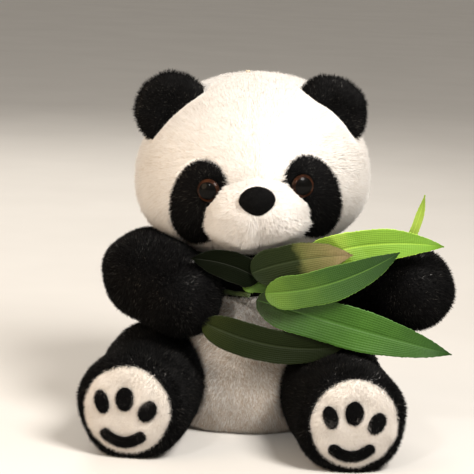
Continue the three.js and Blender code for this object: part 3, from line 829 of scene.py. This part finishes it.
# Closing seam: a fine cream thread down the middle of the head, from the nose over the crown to the neck.
seam_angle = np.radians(np.linspace(-8, 236, 420))
seam_way = np.stack([0 * seam_angle, -np.cos(seam_angle), np.sin(seam_angle)], 1)
seam_line = seam_way / head_gauge(seam_way)[:, None]
seam_line = seam_line + head_normal(seam_line) * (PILE_FOOT - 0.05)
seam_line = seam_line[in_muzzle(seam_line, 0.5) > 1]
add("head_closing_seam", *rope(head_to_world(seam_line), 0.34, twist=0.35, closed_loop=False),
    "head", seam_thread, slot="white_thread")

muzzle_rings = ball_rings(60, 96, "y") * MUZZLE_SIZE + MUZZLE_MIDDLE
muzzle_end = np.array([0, MUZZLE["reach"], 0])
muzzle = closed(muzzle_rings, MUZZLE_MIDDLE + muzzle_end, MUZZLE_MIDDLE - muzzle_end)


def muzzle_shape(points, faces):
    """Two soft lobes with a crease under the nose."""
    n = point_normals(points, faces)
    low = 1 / (1 + np.exp((points[:, 2] - NOSE["z"] + 5) / 1.5))
    front = (points[:, 1] < MUZZLE["y"] - 8).astype(float)
    crease = np.exp(-((points[:, 0] / 2.2) ** 2)) * low * front
    lobes = np.exp(-(((np.abs(points[:, 0]) - 9) / 7) ** 2)) * low * front
    value, _ = waves(points, 22, 25)
    points = points + n * (0.5 * value - 0.9 * crease + 0.5 * lobes)[:, None]
    below = ((MUZZLE["z"] - points[:, 2]) / 6).clip(0, 1)
    across = np.abs(points[:, 0]) / MUZZLE["half_width"]
    down = np.abs(points[:, 2] - MUZZLE["z"]) / MUZZLE["half_height"]
    square = np.hypot(across, down) / np.maximum((across**3 + down**3) ** (1 / 3), 1e-6)
    fuller = 1 + (square - 1) * below
    points[:, 0] *= fuller
    points[:, 2] = MUZZLE["z"] + (points[:, 2] - MUZZLE["z"]) * fuller * (1 + 0.05 * below)
    return out_of_head(points, 0.4)


muzzle = on_head(muzzle_shape(*muzzle), muzzle[1])
add("muzzle_cover_cloth", *muzzle, "head", white_skin, "muzzle_cover", fill=0.8)


def muzzle_brush(world, n):
    p = world_to_head(world) - np.array([0, NOSE["y"], NOSE["z"] + 2])
    way = np.stack([p[:, 0] * 0.08, 0 * p[:, 0], -1.1 + 0.02 * np.abs(p[:, 0])], 1)
    above = p[:, 2] > 2
    way[above] = np.stack([p[above, 0] * 0.08, 0 * p[above, 0] + 0.5, 0.5 + 0 * p[above, 0]], 1)
    return way @ HEAD_TURNED.T


def muzzle_open(world, n):
    p = world_to_head(world)
    across, up = p[:, 0] / NOSE["half_width"], (p[:, 2] - NOSE["z"]) / NOSE["half_height"]
    under_nose = (across**2 + up**2 < 0.72) & (p[:, 1] < -50)
    return (head_gauge(p, 1.2) > 1) & ~under_nose & ~near_eye(p, 8)


def muzzle_length(world):
    p = world_to_head(world)
    low = 1 / (1 + np.exp((p[:, 2] - MUZZLE["z"]) / 3))
    return MUZZLE_PILE["length"] + MUZZLE_PILE["longer"] * low


pile("muzzle_pile", "head", "white_plush", muzzle, muzzle_length, MUZZLE_PILE["density"],
     muzzle_brush, muzzle_open,
     lean=1.15, clump=0.22, clump_size=3.6, jitter=0.16, bent=True, width=0.17, seed=35)

def face_point(x, z, grow):
    """The point on the front of the head, or just off it, at a place seen from ahead."""
    y = -np.linspace(20, 62, 60)
    line = np.stack([x + 0 * y, y, z + 0 * y], 1)
    return x, np.interp(1.0, head_gauge(line, grow), y), z


# Eye patches: a thin oval of black plush on each side, bent over the head.
for side, label in NAMES.items():
    rows, cols = 22, 64
    a = math.radians(-side * PATCH["slant"])
    angle = circle(cols)
    layers = []
    for grow in (0.35, 1.7):
        ring_list = []
        for share in np.linspace(1, 0.04, rows):
            u = PATCH["half_width"] * share * np.cos(angle)
            w = PATCH["half_length"] * share * np.sin(angle)
            x = side * PATCH["x"] + u * math.cos(a) + w * math.sin(a)
            z = PATCH["z"] - u * math.sin(a) + w * math.cos(a)
            ring_list.append([face_point(p, q, grow) for p, q in zip(x, z)])
        layers.append(np.array(ring_list))
    under, over = layers
    rings = np.concatenate([under[::-1], over])
    surface = on_head(*closed(rings, under[-1].mean(0), over[-1].mean(0)))
    add(f"{label}_eye_patch_cloth", *surface, "head", black_skin, f"{label}_eye_patch")
    middle = head_to_world(np.array([[side * PATCH["x"], -45, PATCH["z"] + 2]]))[0]

    def patch_brush(world, n, middle=middle):
        return unit(world - middle) * 0.9 + np.array([0, 0, -0.25])

    def patch_open(world, n, side=side):
        p = world_to_head(world)
        faces_out = np.sum(n * (world - HEAD["centre"]), 1) > 0
        clear = (in_muzzle(p, 0.8) > 1) & ~near_eye(p, EYE["radius"] + 0.2)
        return faces_out & clear & (head_gauge(p, 0.7) > 1)

    pile(f"{label}_eye_patch_pile", "head", "black_plush", surface, *PILE["patch"], patch_brush, patch_open,
         width=0.19, lean=0.8, clump=0.3, seed=36)

# Eyes: a glossy dome with a narrow iris ring, on its shaft.
for side, label in NAMES.items():
    place, way = eyes[side]
    upright = np.array(Vector((0, 0, 1)).rotation_difference(Vector(way)).to_matrix())
    profile = [(EYE["shaft"], -EYE["shaft_length"])]
    profile += [(EYE["shaft"], -s) for s in np.linspace(10, 1, 6)]
    profile += [(EYE["shaft"] + 0.4, -0.2), (EYE["radius"] - 0.5, 0), (EYE["radius"] - 0.1, 0.15)]
    for step in np.linspace(0.03, 0.985, 26):
        b = step * np.pi / 2
        profile.append((EYE["radius"] * math.cos(b), 0.4 + (EYE["dome"] - 0.4) * math.sin(b)))
    points, faces = closed(spun(profile, 64), (0, 0, -EYE["shaft_length"]), (0, 0, EYE["dome"]))
    local = points @ upright.T + place + way * EYE["seat"]
    skins = [eye_black, eye_iris]
    eye = add(f"{label}_eye_dome", head_to_world(local), faces, "head", skins, f"{label}_eye")
    for polygon in eye.data.polygons:
        middle = np.mean([points[i] for i in polygon.vertices], axis=0)
        out = math.hypot(middle[0], middle[1])
        polygon.material_index = int(IRIS[0] < out < IRIS[1] and middle[2] > 0.3)

# Nose: a rounded triangle, widest at the top, flocked.
nose_rings = ball_rings(36, 56, "y")
nose_points, nose_faces = closed(nose_rings, (0, 1, 0), (0, -1, 0))
widen = 1 + np.where(nose_points[:, 2] < 0, 0.30, 0.10) * nose_points[:, 2]
nose_points = nose_points * np.stack([widen, np.ones_like(widen), np.ones_like(widen)], 1)
nose_points[:, 2] -= 0.10 * nose_points[:, 0] ** 2
nose_points[:, 2] = np.where(nose_points[:, 2] > 0, nose_points[:, 2] * 0.92, nose_points[:, 2] * 1.03)
nose_points = nose_points * np.array([NOSE["half_width"] * 0.94, NOSE["half_depth"], NOSE["half_height"]])
nose_points = nose_points + np.array([0, NOSE["y"], NOSE["z"] + 0.3])
nose = on_head(nose_points, nose_faces)
add("nose_form", *nose, "head", nose_skin, "nose")
pile("nose_flock_pile", "head", "nose_flock", nose, *PILE["nose"],
     steady(0, 0, -0.4),
     lambda p, n: n[:, 1] < 0.5, width=0.09, lean=0.4, seed=37)

# Crown knot: the tied end of the head's closing thread.
knot_centre = head_to_world(np.array([[0, 0, HEAD["up"] + 1.9]]))[0]
knot_t = circle(90)
knot_path = np.stack(
    [
        0.62 * (np.sin(knot_t) + 2 * np.sin(2 * knot_t)) / 2.2,
        0.62 * (np.cos(knot_t) - 2 * np.cos(2 * knot_t)) / 2.2,
        -0.55 * np.sin(3 * knot_t),
    ],
    1,
)
add("crown_thread_knot", *rope(knot_path * 1.25 + knot_centre, 0.42), "head", knot_thread, "crown_knot")


def rooted(points, sunk):
    """Brings an ear's buried part out to a root line just under the head's surface, without spreading it."""
    ring = np.sqrt(1 - (points[:, 1] / HEAD["half_depth"]) ** 2)
    from_middle = np.hypot(points[:, 0] / (HEAD["half_width"] - sunk), points[:, 2] / (HEAD["up"] - sunk))
    push = np.maximum(ring / from_middle, 1)
    return points * np.stack([push, np.ones_like(push), push], 1)


# Ears: two sewn layers, rooted on the head.
for name, (x, z) in EAR_PLACES.items():
    for layer, face in (("front", -1), ("back", 1)):
        rows, cols = 26, 72
        theta = np.linspace(0, np.pi / 2, rows + 1)[1:][:, None]
        phi = circle(cols)[None]
        flat = np.ones_like(phi)
        shape = [np.sin(theta) * np.cos(phi), face * np.cos(theta) * flat, np.sin(theta) * np.sin(phi)]
        deep = EAR_HOLLOW[layer]
        hollow = np.exp(-((np.sin(theta) / 0.55) ** 2)) * deep
        rings = np.stack(shape, -1) * np.array([EAR["radius"], EAR["half_depth"], EAR["radius"]])
        rings[..., 1] -= face * (hollow * flat)
        rings = rings + np.array([x, EAR["y"] + face * 0.1, z])
        tip_y = face * (EAR["half_depth"] - deep)
        ear_points, ear_faces = closed(rings, (x, EAR["y"] + tip_y, z), (x, EAR["y"] + face * 0.1, z))
        ear_points = lumpy(ear_points, ear_faces, height=0.3, wavelength=14, seed=26 + face)
        surface = on_head(rooted(ear_points, EAR["root"]), ear_faces)
        add(f"{name}_ear_{layer}_cloth", *surface, f"{name}_ear", black_skin, f"{name}_ear_{layer}")
        root_middle = head_to_world(np.array([[x * 0.75, EAR["y"], z * 0.75]]))[0]

        def ear_brush(world, n, root_middle=root_middle):
            return unit(world - root_middle)

        def ear_open(world, n, face=face, x=x, z=z):
            p = world_to_head(world)
            outer = (p[:, 1] - EAR["y"]) * face > 0.25
            return outer & (head_gauge(p, 1.6) > 1)

        pile(f"{name}_ear_{layer}_pile", f"{name}_ear", "black_plush", surface, *PILE["ear"],
             ear_brush, ear_open, width=0.18, lean=0.5, seed=38 + face)

# ---- limbs

for name, arm in arms.items():
    points, faces = arm.surface()
    seed = 51 + len(name)
    surface = (lumpy(points, faces, height=0.7, wavelength=30, seed=seed, foot=PILE_FOOT), faces)
    body = f"{name}_arm"
    add(f"{name}_arm_cover_cloth", *surface, body, black_skin, f"{name}_arm_cover", fill=0.85)
    pile(f"{name}_arm_pile", body, "black_plush", surface, *PILE["arm"],
         arm.comb, lambda p, n: ~in_torso(p, 1.0) & (head_gauge(world_to_head(p), -1.0) > 1),
         lean=0.65, seed=41)

for name, leg in legs.items():
    points, faces = leg.surface(cols=84)
    across, up, out = leg.sole_place(points)
    r = np.hypot(across, up)
    inner = 1 / (1 + np.exp((r - SOLE + 0.4) / 0.35))
    points = points - leg.tangent[-1] * (1.1 * inner * (out > 1))[:, None]
    mask = 1 - 0.8 * inner * (out > 1)
    seed = 61 + len(name)
    points = lumpy(points, faces, height=0.7, wavelength=32, seed=seed, mask=mask, foot=PILE_FOOT)
    surface = (points, faces)
    body = f"{name}_leg"
    add(f"{name}_leg_cover_cloth", *surface, body, black_skin, f"{name}_leg_cover", fill=0.85)

    def leg_open(p, n, leg=leg):
        across, up, out = leg.sole_place(p)
        on_sole = (out > 1.5) & (np.hypot(across, up) < SOLE - 0.2)
        return ~on_sole & ~in_torso(p, 1.0)

    pile(f"{name}_leg_pile", body, "black_plush", surface, *PILE["leg"],
         leg.comb, leg_open, lean=0.6, seed=42)

    # Sole: a round of shorter white plush set into the end of the foot.
    angle = circle(84)
    rings = []
    for share, lift in [(s, -1.0) for s in np.linspace(0.05, 0.97, 14)] + [(1.0, -0.6)] + [
        (s, 0.1) for s in np.linspace(0.985, 0.05, 26)
    ]:
        a, u = SOLE * share * np.cos(angle), SOLE * share * np.sin(angle)
        rings.append(leg.on_sole(a, u, np.full(84, lift)))
    centre_low = leg.on_sole(np.zeros(1), np.zeros(1), np.full(1, -1.0))[0]
    centre_high = leg.on_sole(np.zeros(1), np.zeros(1), np.full(1, 0.1))[0]
    sole_points, sole_faces = closed(rings, centre_low, centre_high)
    value, _ = waves(sole_points, 15, 71 + len(name))
    sole_points = sole_points + leg.tangent[-1] * (0.35 * value)[:, None]
    sole_surface = (sole_points, sole_faces)
    add(f"{name}_sole_cloth", *sole_surface, body, sole_skin, f"{name}_sole", fill=0.8)
    facing = leg.tangent[-1]
    pile(f"{name}_sole_pile", body, "sole_plush", sole_surface, *PILE["sole"],
         steady(0, 0, -1.0), lambda p, n, facing=facing: n @ facing > 0.3,
         width=0.18, lean=0.5, clump=0.3, clump_size=2.4, seed=43)

    def sole_patch(label, outline, fuller, node, leg=leg, body=body):
        """A pad sewn on the sole, from its outline on the sole: rings shrink towards its spine."""
        rings = []
        for share, lift in ((0.55, 0.35), (1.0, 0.4), (1.0, 0.9), (0.93, 1.3), (0.7, 1.45), (0.35, 1.5)):
            across_up = fuller + (outline - fuller) * share
            rings.append(leg.on_sole(across_up[:, 0], across_up[:, 1], np.full(len(outline), lift)))
        low, high = rings[0].mean(0), rings[-1].mean(0)
        surface = closed(rings, low, high)
        add(f"{label}_cloth", *surface, body, pad_skin, node)
        pile(f"{label}_pile", body, "pad_plush", surface, *PILE["pad"],
             lambda p, n: np.array([0, 0, -0.6]) + 0.5 * unit(p - p.mean(0)),
             lambda p, n, leg=leg: n @ leg.tangent[-1] > 0.1,
             width=0.17, lean=0.45, clump=0.3, clump_size=2.0, seed=44)

    for toe, (across0, up0, half_width, half_height, lean) in zip(TOE_NAMES[name], TOES):
        t = circle(40)
        c, s = math.cos(math.radians(lean)), math.sin(math.radians(lean))
        u, w = half_width * np.cos(t), half_height * np.sin(t)
        outline = np.stack([across0 + u * c - w * s, up0 + u * s + w * c], 1)
        spine = np.tile([across0, up0], (40, 1))
        sole_patch(f"{name}_{toe}_toe", outline, spine, f"{name}_{toe}_toe_pad")

    # Main pad: a rounded bar along an arc.
    share = np.linspace(-1, 1, 25)
    arc = np.stack(
        [
            MAIN_PAD["across"] + MAIN_PAD["half_length"] * share,
            MAIN_PAD["up"] - MAIN_PAD["sag"] * (1 - share**2),
        ],
        1,
    )
    slope = np.arctan2(2 * MAIN_PAD["sag"] * share, MAIN_PAD["half_length"])
    quarter = np.pi / 2
    half_turn = np.linspace(0, np.pi, 13)[1:-1]
    below, above = slope - quarter, slope[::-1] + quarter
    angle = np.concatenate([below, below[-1] + half_turn, above, above[-1] + half_turn])
    spine = np.vstack([arc, np.repeat(arc[-1:], 11, 0), arc[::-1], np.repeat(arc[:1], 11, 0)])
    outline = spine + MAIN_PAD["half_thickness"] * np.stack([np.cos(angle), np.sin(angle)], 1)
    sole_patch(f"{name}_main_pad_patch", outline, spine, f"{name}_main_pad")

# ---- sprig

# Each leaf: its body, the start, bend and tip of its rib, half its width, its fold and its tone
LEAVES = {
    "lower_dark_leaf": ("right_arm", [(-21, -60.5, 64), (14, -57, 46.5), (50, -57, 54)], 8.6, 1.0, "dark"),
    "long_lower_leaf": ("leaf_fan", [(5, -55, 75), (52, -64, 64), (103, -54, 51.5)], 10.6, 1.6, "green"),
    "middle_leaf": ("leaf_fan", [(9, -60, 79.5), (42, -67.5, 82), (73.5, -63, 103.5)], 8.6, 1.5, "middle"),
    "short_back_leaf": ("right_arm", [(-3, -52, 83), (10, -53.2, 84.2), (26, -53.6, 86)], 5.5, 0.8, "middle"),
    "upper_dark_leaf": ("leaf_fan", [(2, -56, 88.5), (23, -61, 98.5), (51, -59.5, 100.5)], 9, 1.2, "muzzle_shadowed"),
    "bright_upper_leaf": (
        "leaf_fan", [(27, -53.4, 95.5), (58, -56, 109), (96, -53, 105.5)], 8.2, 1.2, "bright"
    ),
    "upright_tip_leaf": (
        "leaf_fan", [(76, -49.5, 100), (83.5, -48.5, 114), (85.6, -47.5, 130)], 2.3, 0.4, "fresh"
    ),
    "left_dark_leaf": ("right_arm", [(6, -53.5, 85), (-8, -58.5, 94.5), (-28, -58, 95)], 7.5, 0.8, "shaded"),
}
# Tones along a leaf, from its stem end to its tip
LEAF_TONES = {
    # left_dark_leaf: near-black all along, a painted shadow from the chin above it
    "shaded": [(0.0, (0.003, 0.005, 0.002)), (0.5, (0.0035, 0.005, 0.002)), (1.0, (0.002, 0.003, 0.001))],
    "dark": [(0.0, (0.020, 0.026, 0.004)), (0.3, (0.010, 0.016, 0.003)), (1.0, (0.007, 0.011, 0.003))],
    # long_lower_leaf: darker from the stem end to the middle, a painted shade; lightest just past the middle,
    # darker again at the tip
    "green": [(0.0, (0.018, 0.036, 0.006)), (0.25, (0.030, 0.086, 0.010)), (0.5, (0.046, 0.130, 0.014)),
              (0.58, (0.052, 0.145, 0.016)), (1.0, (0.020, 0.074, 0.008))],
    "middle": [(0.0, (0.090, 0.170, 0.016)), (0.25, (0.060, 0.130, 0.014)), (0.5, (0.030, 0.085, 0.010)),
               (1.0, (0.009, 0.040, 0.005))],
    # upper_dark_leaf: near-black up to the middle, a painted shadow cast by the muzzle; then the tan of its
    # tip
    "muzzle_shadowed": [(0.0, (0.010, 0.017, 0.004)), (0.45, (0.014, 0.022, 0.005)), (0.56, (0.110, 0.115, 0.035)),
              (0.85, (0.200, 0.170, 0.070)), (1.0, (0.330, 0.250, 0.130))],
    "fresh": [(0.0, (0.260, 0.420, 0.040)), (0.5, (0.360, 0.500, 0.070)), (1.0, (0.300, 0.460, 0.060))],
    "bright": [(0.0, (0.150, 0.270, 0.030)), (0.3, (0.280, 0.430, 0.050)), (0.4, (0.200, 0.370, 0.035)),
               (1.0, (0.175, 0.365, 0.030))],
}


def leaf_material(name, tone):
    """Printed satin cloth: tones along the leaf, some of them painted shade, a pale midrib line that is partly
    a painted highlight, a pale cut edge, ribs and a weave.
    """
    gloss = {"shaded": 0.02, "dark": 0.08, "muzzle_shadowed": 0.1}.get(tone, 0.25)
    m, bsdf, tree = shader(name, LEAF_TONES[tone][1][1], 0.5, Specular_IOR_Level=gloss)
    uv = node_output(tree, "UVMap", {}, uv_map="leaf")
    across, along = (node_output(tree, "SeparateXYZ", {0: uv}, axis) for axis in ("X", "Y"))
    where = coordinates(tree)

    def calc(operation, *values):
        return node_output(tree, "Math", dict(enumerate(values)), operation=operation)

    def mix(share, a, color, blend="MIX"):
        inputs = {"Factor": share, 6: a, 7: (*color, 1)}
        return node_output(tree, "Mix", inputs, 2, data_type="RGBA", blend_type=blend)

    def band(value, low, high):
        inputs = {"Value": value, "From Min": low, "From Max": high}
        return node_output(tree, "MapRange", inputs, interpolation_type="SMOOTHSTEP")

    def stripes(source, count):
        wave = calc("SINE", calc("MULTIPLY", source, 2 * math.pi * count))
        return calc("MULTIPLY", calc("ADD", wave, 1.0), 0.5)

    drift = calc("MULTIPLY", calc("SUBTRACT", noise(tree, where, 110), 0.5), 0.3)
    colors = ramp(tree, calc("ADD", along, drift), LEAF_TONES[tone])
    off_rib = calc("ABSOLUTE", calc("SUBTRACT", across, 0.5))
    ribs, threads = stripes(across, 17), stripes(along, 70)
    for share, depth in ((ribs, 0.3), (threads, 0.2)):
        colors = mix(calc("MULTIPLY", share, depth), colors, (0.5, 0.58, 0.5), "MULTIPLY")
    pale = tuple(min(1.0, 2.2 * c + 0.02) for c in LEAF_TONES[tone][1][1])
    # The pale midrib line: the rib's lighter line and a painted highlight along its crease
    midrib = calc("MULTIPLY", calc("SUBTRACT", 1.0, band(off_rib, 0.006, 0.026)), 0.45)
    cut = calc("MULTIPLY", band(off_rib, 0.475, 0.492), 0.6)
    colors = mix(cut, mix(midrib, colors, pale), pale)
    tree.links.new(colors, bsdf.inputs["Base Color"])
    height = calc("ADD", calc("MULTIPLY", ribs, 0.5), calc("MULTIPLY", noise(tree, where, 1800, 2), 0.35))
    height = calc("ADD", height, calc("MULTIPLY", threads, 0.25))
    bump(tree, bsdf, height, 0.00018)
    return m


LEAF_CLOTH = {tone: leaf_material(f"{tone}_leaf_cloth", tone) for tone in LEAF_TONES}


def leaf_width(t):
    """A strap with a round stem end and a long pointed tip, as a share of its half width."""
    base = np.sqrt(1 - (1 - np.minimum(t / 0.2, 1)) ** 2)
    tip = 1 - np.maximum((t - 0.42) / 0.58, 0) ** 2.5
    return base * tip


def leaf_mesh(name, body, rib, half_width, fold, tone, seed, crease=None):
    base, bend, tip = (np.array(p, float) for p in rib)
    rows, cols = 120, 31
    t = np.linspace(0, 1, rows)[:, None]
    line = (1 - t) ** 2 * base + 2 * t * (1 - t) * bend + t**2 * tip
    tangent = unit(2 * (1 - t) * (bend - base) + 2 * t * (tip - bend))
    across = unit(np.cross(tangent, (0, -1, 0)))
    out = np.cross(across, tangent)
    width = np.maximum(0.4, half_width * leaf_width(t))
    side = np.linspace(-1, 1, cols)[None]
    r = np.random.default_rng(seed)
    nicks = 0.12 * r.normal(size=(rows, 1)) * (np.abs(side) > 0.99) / np.maximum(width, 2)
    edge = 1 + 0.02 * np.sin(t * r.uniform(14, 22) + r.uniform(0, 6)) * np.abs(side) + nicks
    share = width / half_width
    pressed = -0.35 * np.exp(-((side * width / 0.7) ** 2)) * share
    ripple = 0.4 * np.sin(t * r.uniform(9, 15) + side * 1.5 + r.uniform(0, 6)) * side**2 * share
    lift = fold * (np.abs(side) ** 1.2 - 1) * share + pressed + ripple + 0.35
    if crease:
        lift = lift + 1.3 * np.maximum(0, 1 - np.abs(t - crease - 0.07 * side) / 0.13) * share
    spread, lift = (side * width * edge)[..., None], lift[..., None]
    middle = line[:, None] + across[:, None] * spread + out[:, None] * lift
    thickness = 0.30
    front = middle + out[:, None] * thickness / 2
    back = middle - out[:, None] * thickness / 2
    points = np.vstack([front.reshape(-1, 3), back.reshape(-1, 3)])
    faces = []
    size = rows * cols
    for i in range(rows - 1):
        for j in range(cols - 1):
            a, b, c, d = i * cols + j, i * cols + j + 1, (i + 1) * cols + j + 1, (i + 1) * cols + j
            faces.append((a, b, c, d))
            faces.append((size + d, size + c, size + b, size + a))
    border = [(0, j) for j in range(cols - 1)] + [(i, cols - 1) for i in range(rows - 1)]
    border += [(rows - 1, j) for j in range(cols - 1, 0, -1)] + [(i, 0) for i in range(rows - 1, 0, -1)]
    loop = [i * cols + j for i, j in border]
    for a, b in zip(loop, loop[1:] + loop[:1]):
        faces.append((b, a, size + a, size + b))
    points, faces = outward(points, faces)
    obj = add(name + "_cloth", points, faces, body, LEAF_CLOTH[tone], name)
    grid = np.stack([np.broadcast_to((side + 1) / 2, (rows, cols)), np.broadcast_to(t, (rows, cols))], -1)
    uv_points = np.vstack([grid.reshape(-1, 2)] * 2)
    layer = obj.data.uv_layers.new(name="leaf")
    corner = np.empty(len(obj.data.loops), np.int32)
    obj.data.loops.foreach_get("vertex_index", corner)
    layer.data.foreach_set("uv", uv_points[corner].ravel())
    return obj


stem_line, _ = spaced_line(STEM_PATH, 60)
add("sprig_stem_wrap", *rope(stem_line, STEM_RADIUS, plies=3, twist=0.5, cols=10, closed_loop=False),
    "right_arm", stem_skin, "sprig_stem")
for k, (name, (body, rib, half_width, fold, tone)) in enumerate(LEAVES.items()):
    leaf_mesh(name, body, rib, half_width, fold, tone, 81 + k, 0.3 if name == "bright_upper_leaf" else None)

stitch_at, stitch_along = stem_line[17], unit(stem_line[18] - stem_line[16])
stitch_side = unit(np.cross(stitch_along, (0, 0, 1)))
stitch_up = np.cross(stitch_side, stitch_along)
stitch_angle = circle(60)[:, None]
stitch_loop = stitch_at + 2.0 * (stitch_side * np.cos(stitch_angle) + stitch_up * np.sin(stitch_angle))
add("paw_stitch_thread", *rope(stitch_loop, 0.4), "right_arm", black_thread, "paw_stitch")

# ---- inner pieces


def lumpy_copy(node, name, body, material, voxel, depth, wavelength, seed):
    """Fibre or beans in the room of a plain solid: remeshed, and dented inwards only."""
    obj = in_scene(name, frame["nodes"][node].data.copy())
    mesh_edit = obj.modifiers.new("fine", "REMESH")
    mesh_edit.mode = "VOXEL"
    mesh_edit.voxel_size = voxel * MM
    fine = bpy.data.meshes.new_from_object(obj.evaluated_get(bpy.context.evaluated_depsgraph_get()))
    bpy.data.objects.remove(obj)
    count = len(fine.vertices)
    points = np.empty(count * 3, np.float32)
    normals = np.empty(count * 3, np.float32)
    fine.vertices.foreach_get("co", points)
    fine.vertices.foreach_get("normal", normals)
    points, normals = points.reshape(-1, 3).astype(float) / MM, normals.reshape(-1, 3)
    value, _ = waves(points, wavelength, seed)
    small, _ = waves(points, wavelength / 3, seed + 1)
    dent = depth * np.clip(0.5 + 0.35 * value + 0.15 * small, 0, 1.2)
    points = points - normals * dent[:, None]
    faces = [tuple(p.vertices) for p in fine.polygons]
    bpy.data.meshes.remove(fine)
    return add(name, points, faces, body, material, node, fill=0.7)


FILLED = ("torso", "head", "muzzle", "right_arm", "left_arm", "right_leg", "left_leg")
for k, part in enumerate(FILLED):
    body = "head" if part == "muzzle" else part
    lumpy_copy(f"{part}_stuffing", f"{part}_fibre", body, fibre_skin,
               voxel=2.2, depth=2.2, wavelength=13, seed=91 + k)
lumpy_copy("bean_bag", "bean_bag_cloth", "torso", bean_skin, voxel=1.1, depth=0.9, wavelength=5, seed=99)
for node in ("nose_washer", "right_eye_washer", "left_eye_washer"):
    plastic = frame["nodes"][node]
    plastic.data.materials.clear()
    plastic.data.materials.append(washer_skin)

# ---- camera, lights, floor

AIM = Vector((-6, 0, 96.5)) * MM
DISTANCE, ELEVATION, ROLL = 0.94, math.radians(10), math.radians(2.5)
FIELD_OF_VIEW = math.radians(15)

back = Vector((0, -math.cos(ELEVATION), math.sin(ELEVATION)))
level_right = Vector((1, 0, 0))
level_up = back.cross(level_right)
right = level_right * math.cos(ROLL) + level_up * math.sin(ROLL)
up = -level_right * math.sin(ROLL) + level_up * math.cos(ROLL)
camera = in_scene("camera", bpy.data.cameras.new("camera"))
place = Matrix((right, up, back)).transposed().to_4x4()
place.translation = AIM + back * DISTANCE
camera.matrix_world = place
camera.data.sensor_fit = "HORIZONTAL"
camera.data.angle = FIELD_OF_VIEW
camera.data.clip_start, camera.data.clip_end = 0.02, 20
bpy.context.scene.camera = camera


def area_light(name, location, target, size, power, color):
    light = bpy.data.lights.new(name, "AREA")
    light.shape = "DISK"
    light.size = size
    light.energy = power
    light.color = color
    obj = in_scene(name, light)
    obj.location = location
    obj.rotation_euler = (Vector(target) - Vector(location)).to_track_quat("-Z", "Y").to_euler()


area_light("key_light", (0.5, -0.75, 0.95), (0, 0, 0.1), 0.5, 20, (1.0, 0.95, 0.89))
area_light("fill_light", (-0.9, -0.6, 0.4), (0, 0, 0.09), 0.7, 4.9, (1.0, 0.75, 0.5))
area_light("rim_light", (-0.3, 0.9, 0.8), (0, 0, 0.1), 0.6, 5.0, (1.0, 0.94, 0.86))
area_light("glint_light", (-0.35, -0.9, 0.62), (0, -0.05, 0.12), 0.09, 2.2, (1.0, 0.98, 0.95))

world = bpy.data.worlds.new("studio")
bpy.context.scene.world = world
world.use_nodes = True
surround = world.node_tree.nodes["Background"].inputs
surround["Color"].default_value = (1.0, 0.93, 0.84, 1)
surround["Strength"].default_value = 0.36
bpy.context.scene.view_settings.view_transform = "Standard"

floor_data = bpy.data.meshes.new("floor")
floor_data.from_pydata([(-15, -15, 0), (15, -15, 0), (15, 15, 0), (-15, 15, 0)], [], [(0, 1, 2, 3)])
floor = in_scene("floor", floor_data)
floor_data.materials.append(cloth("floor_paint", (0.70, 0.68, 0.65), (0.74, 0.72, 0.69), 6, 0.8, 0.0001, 60))
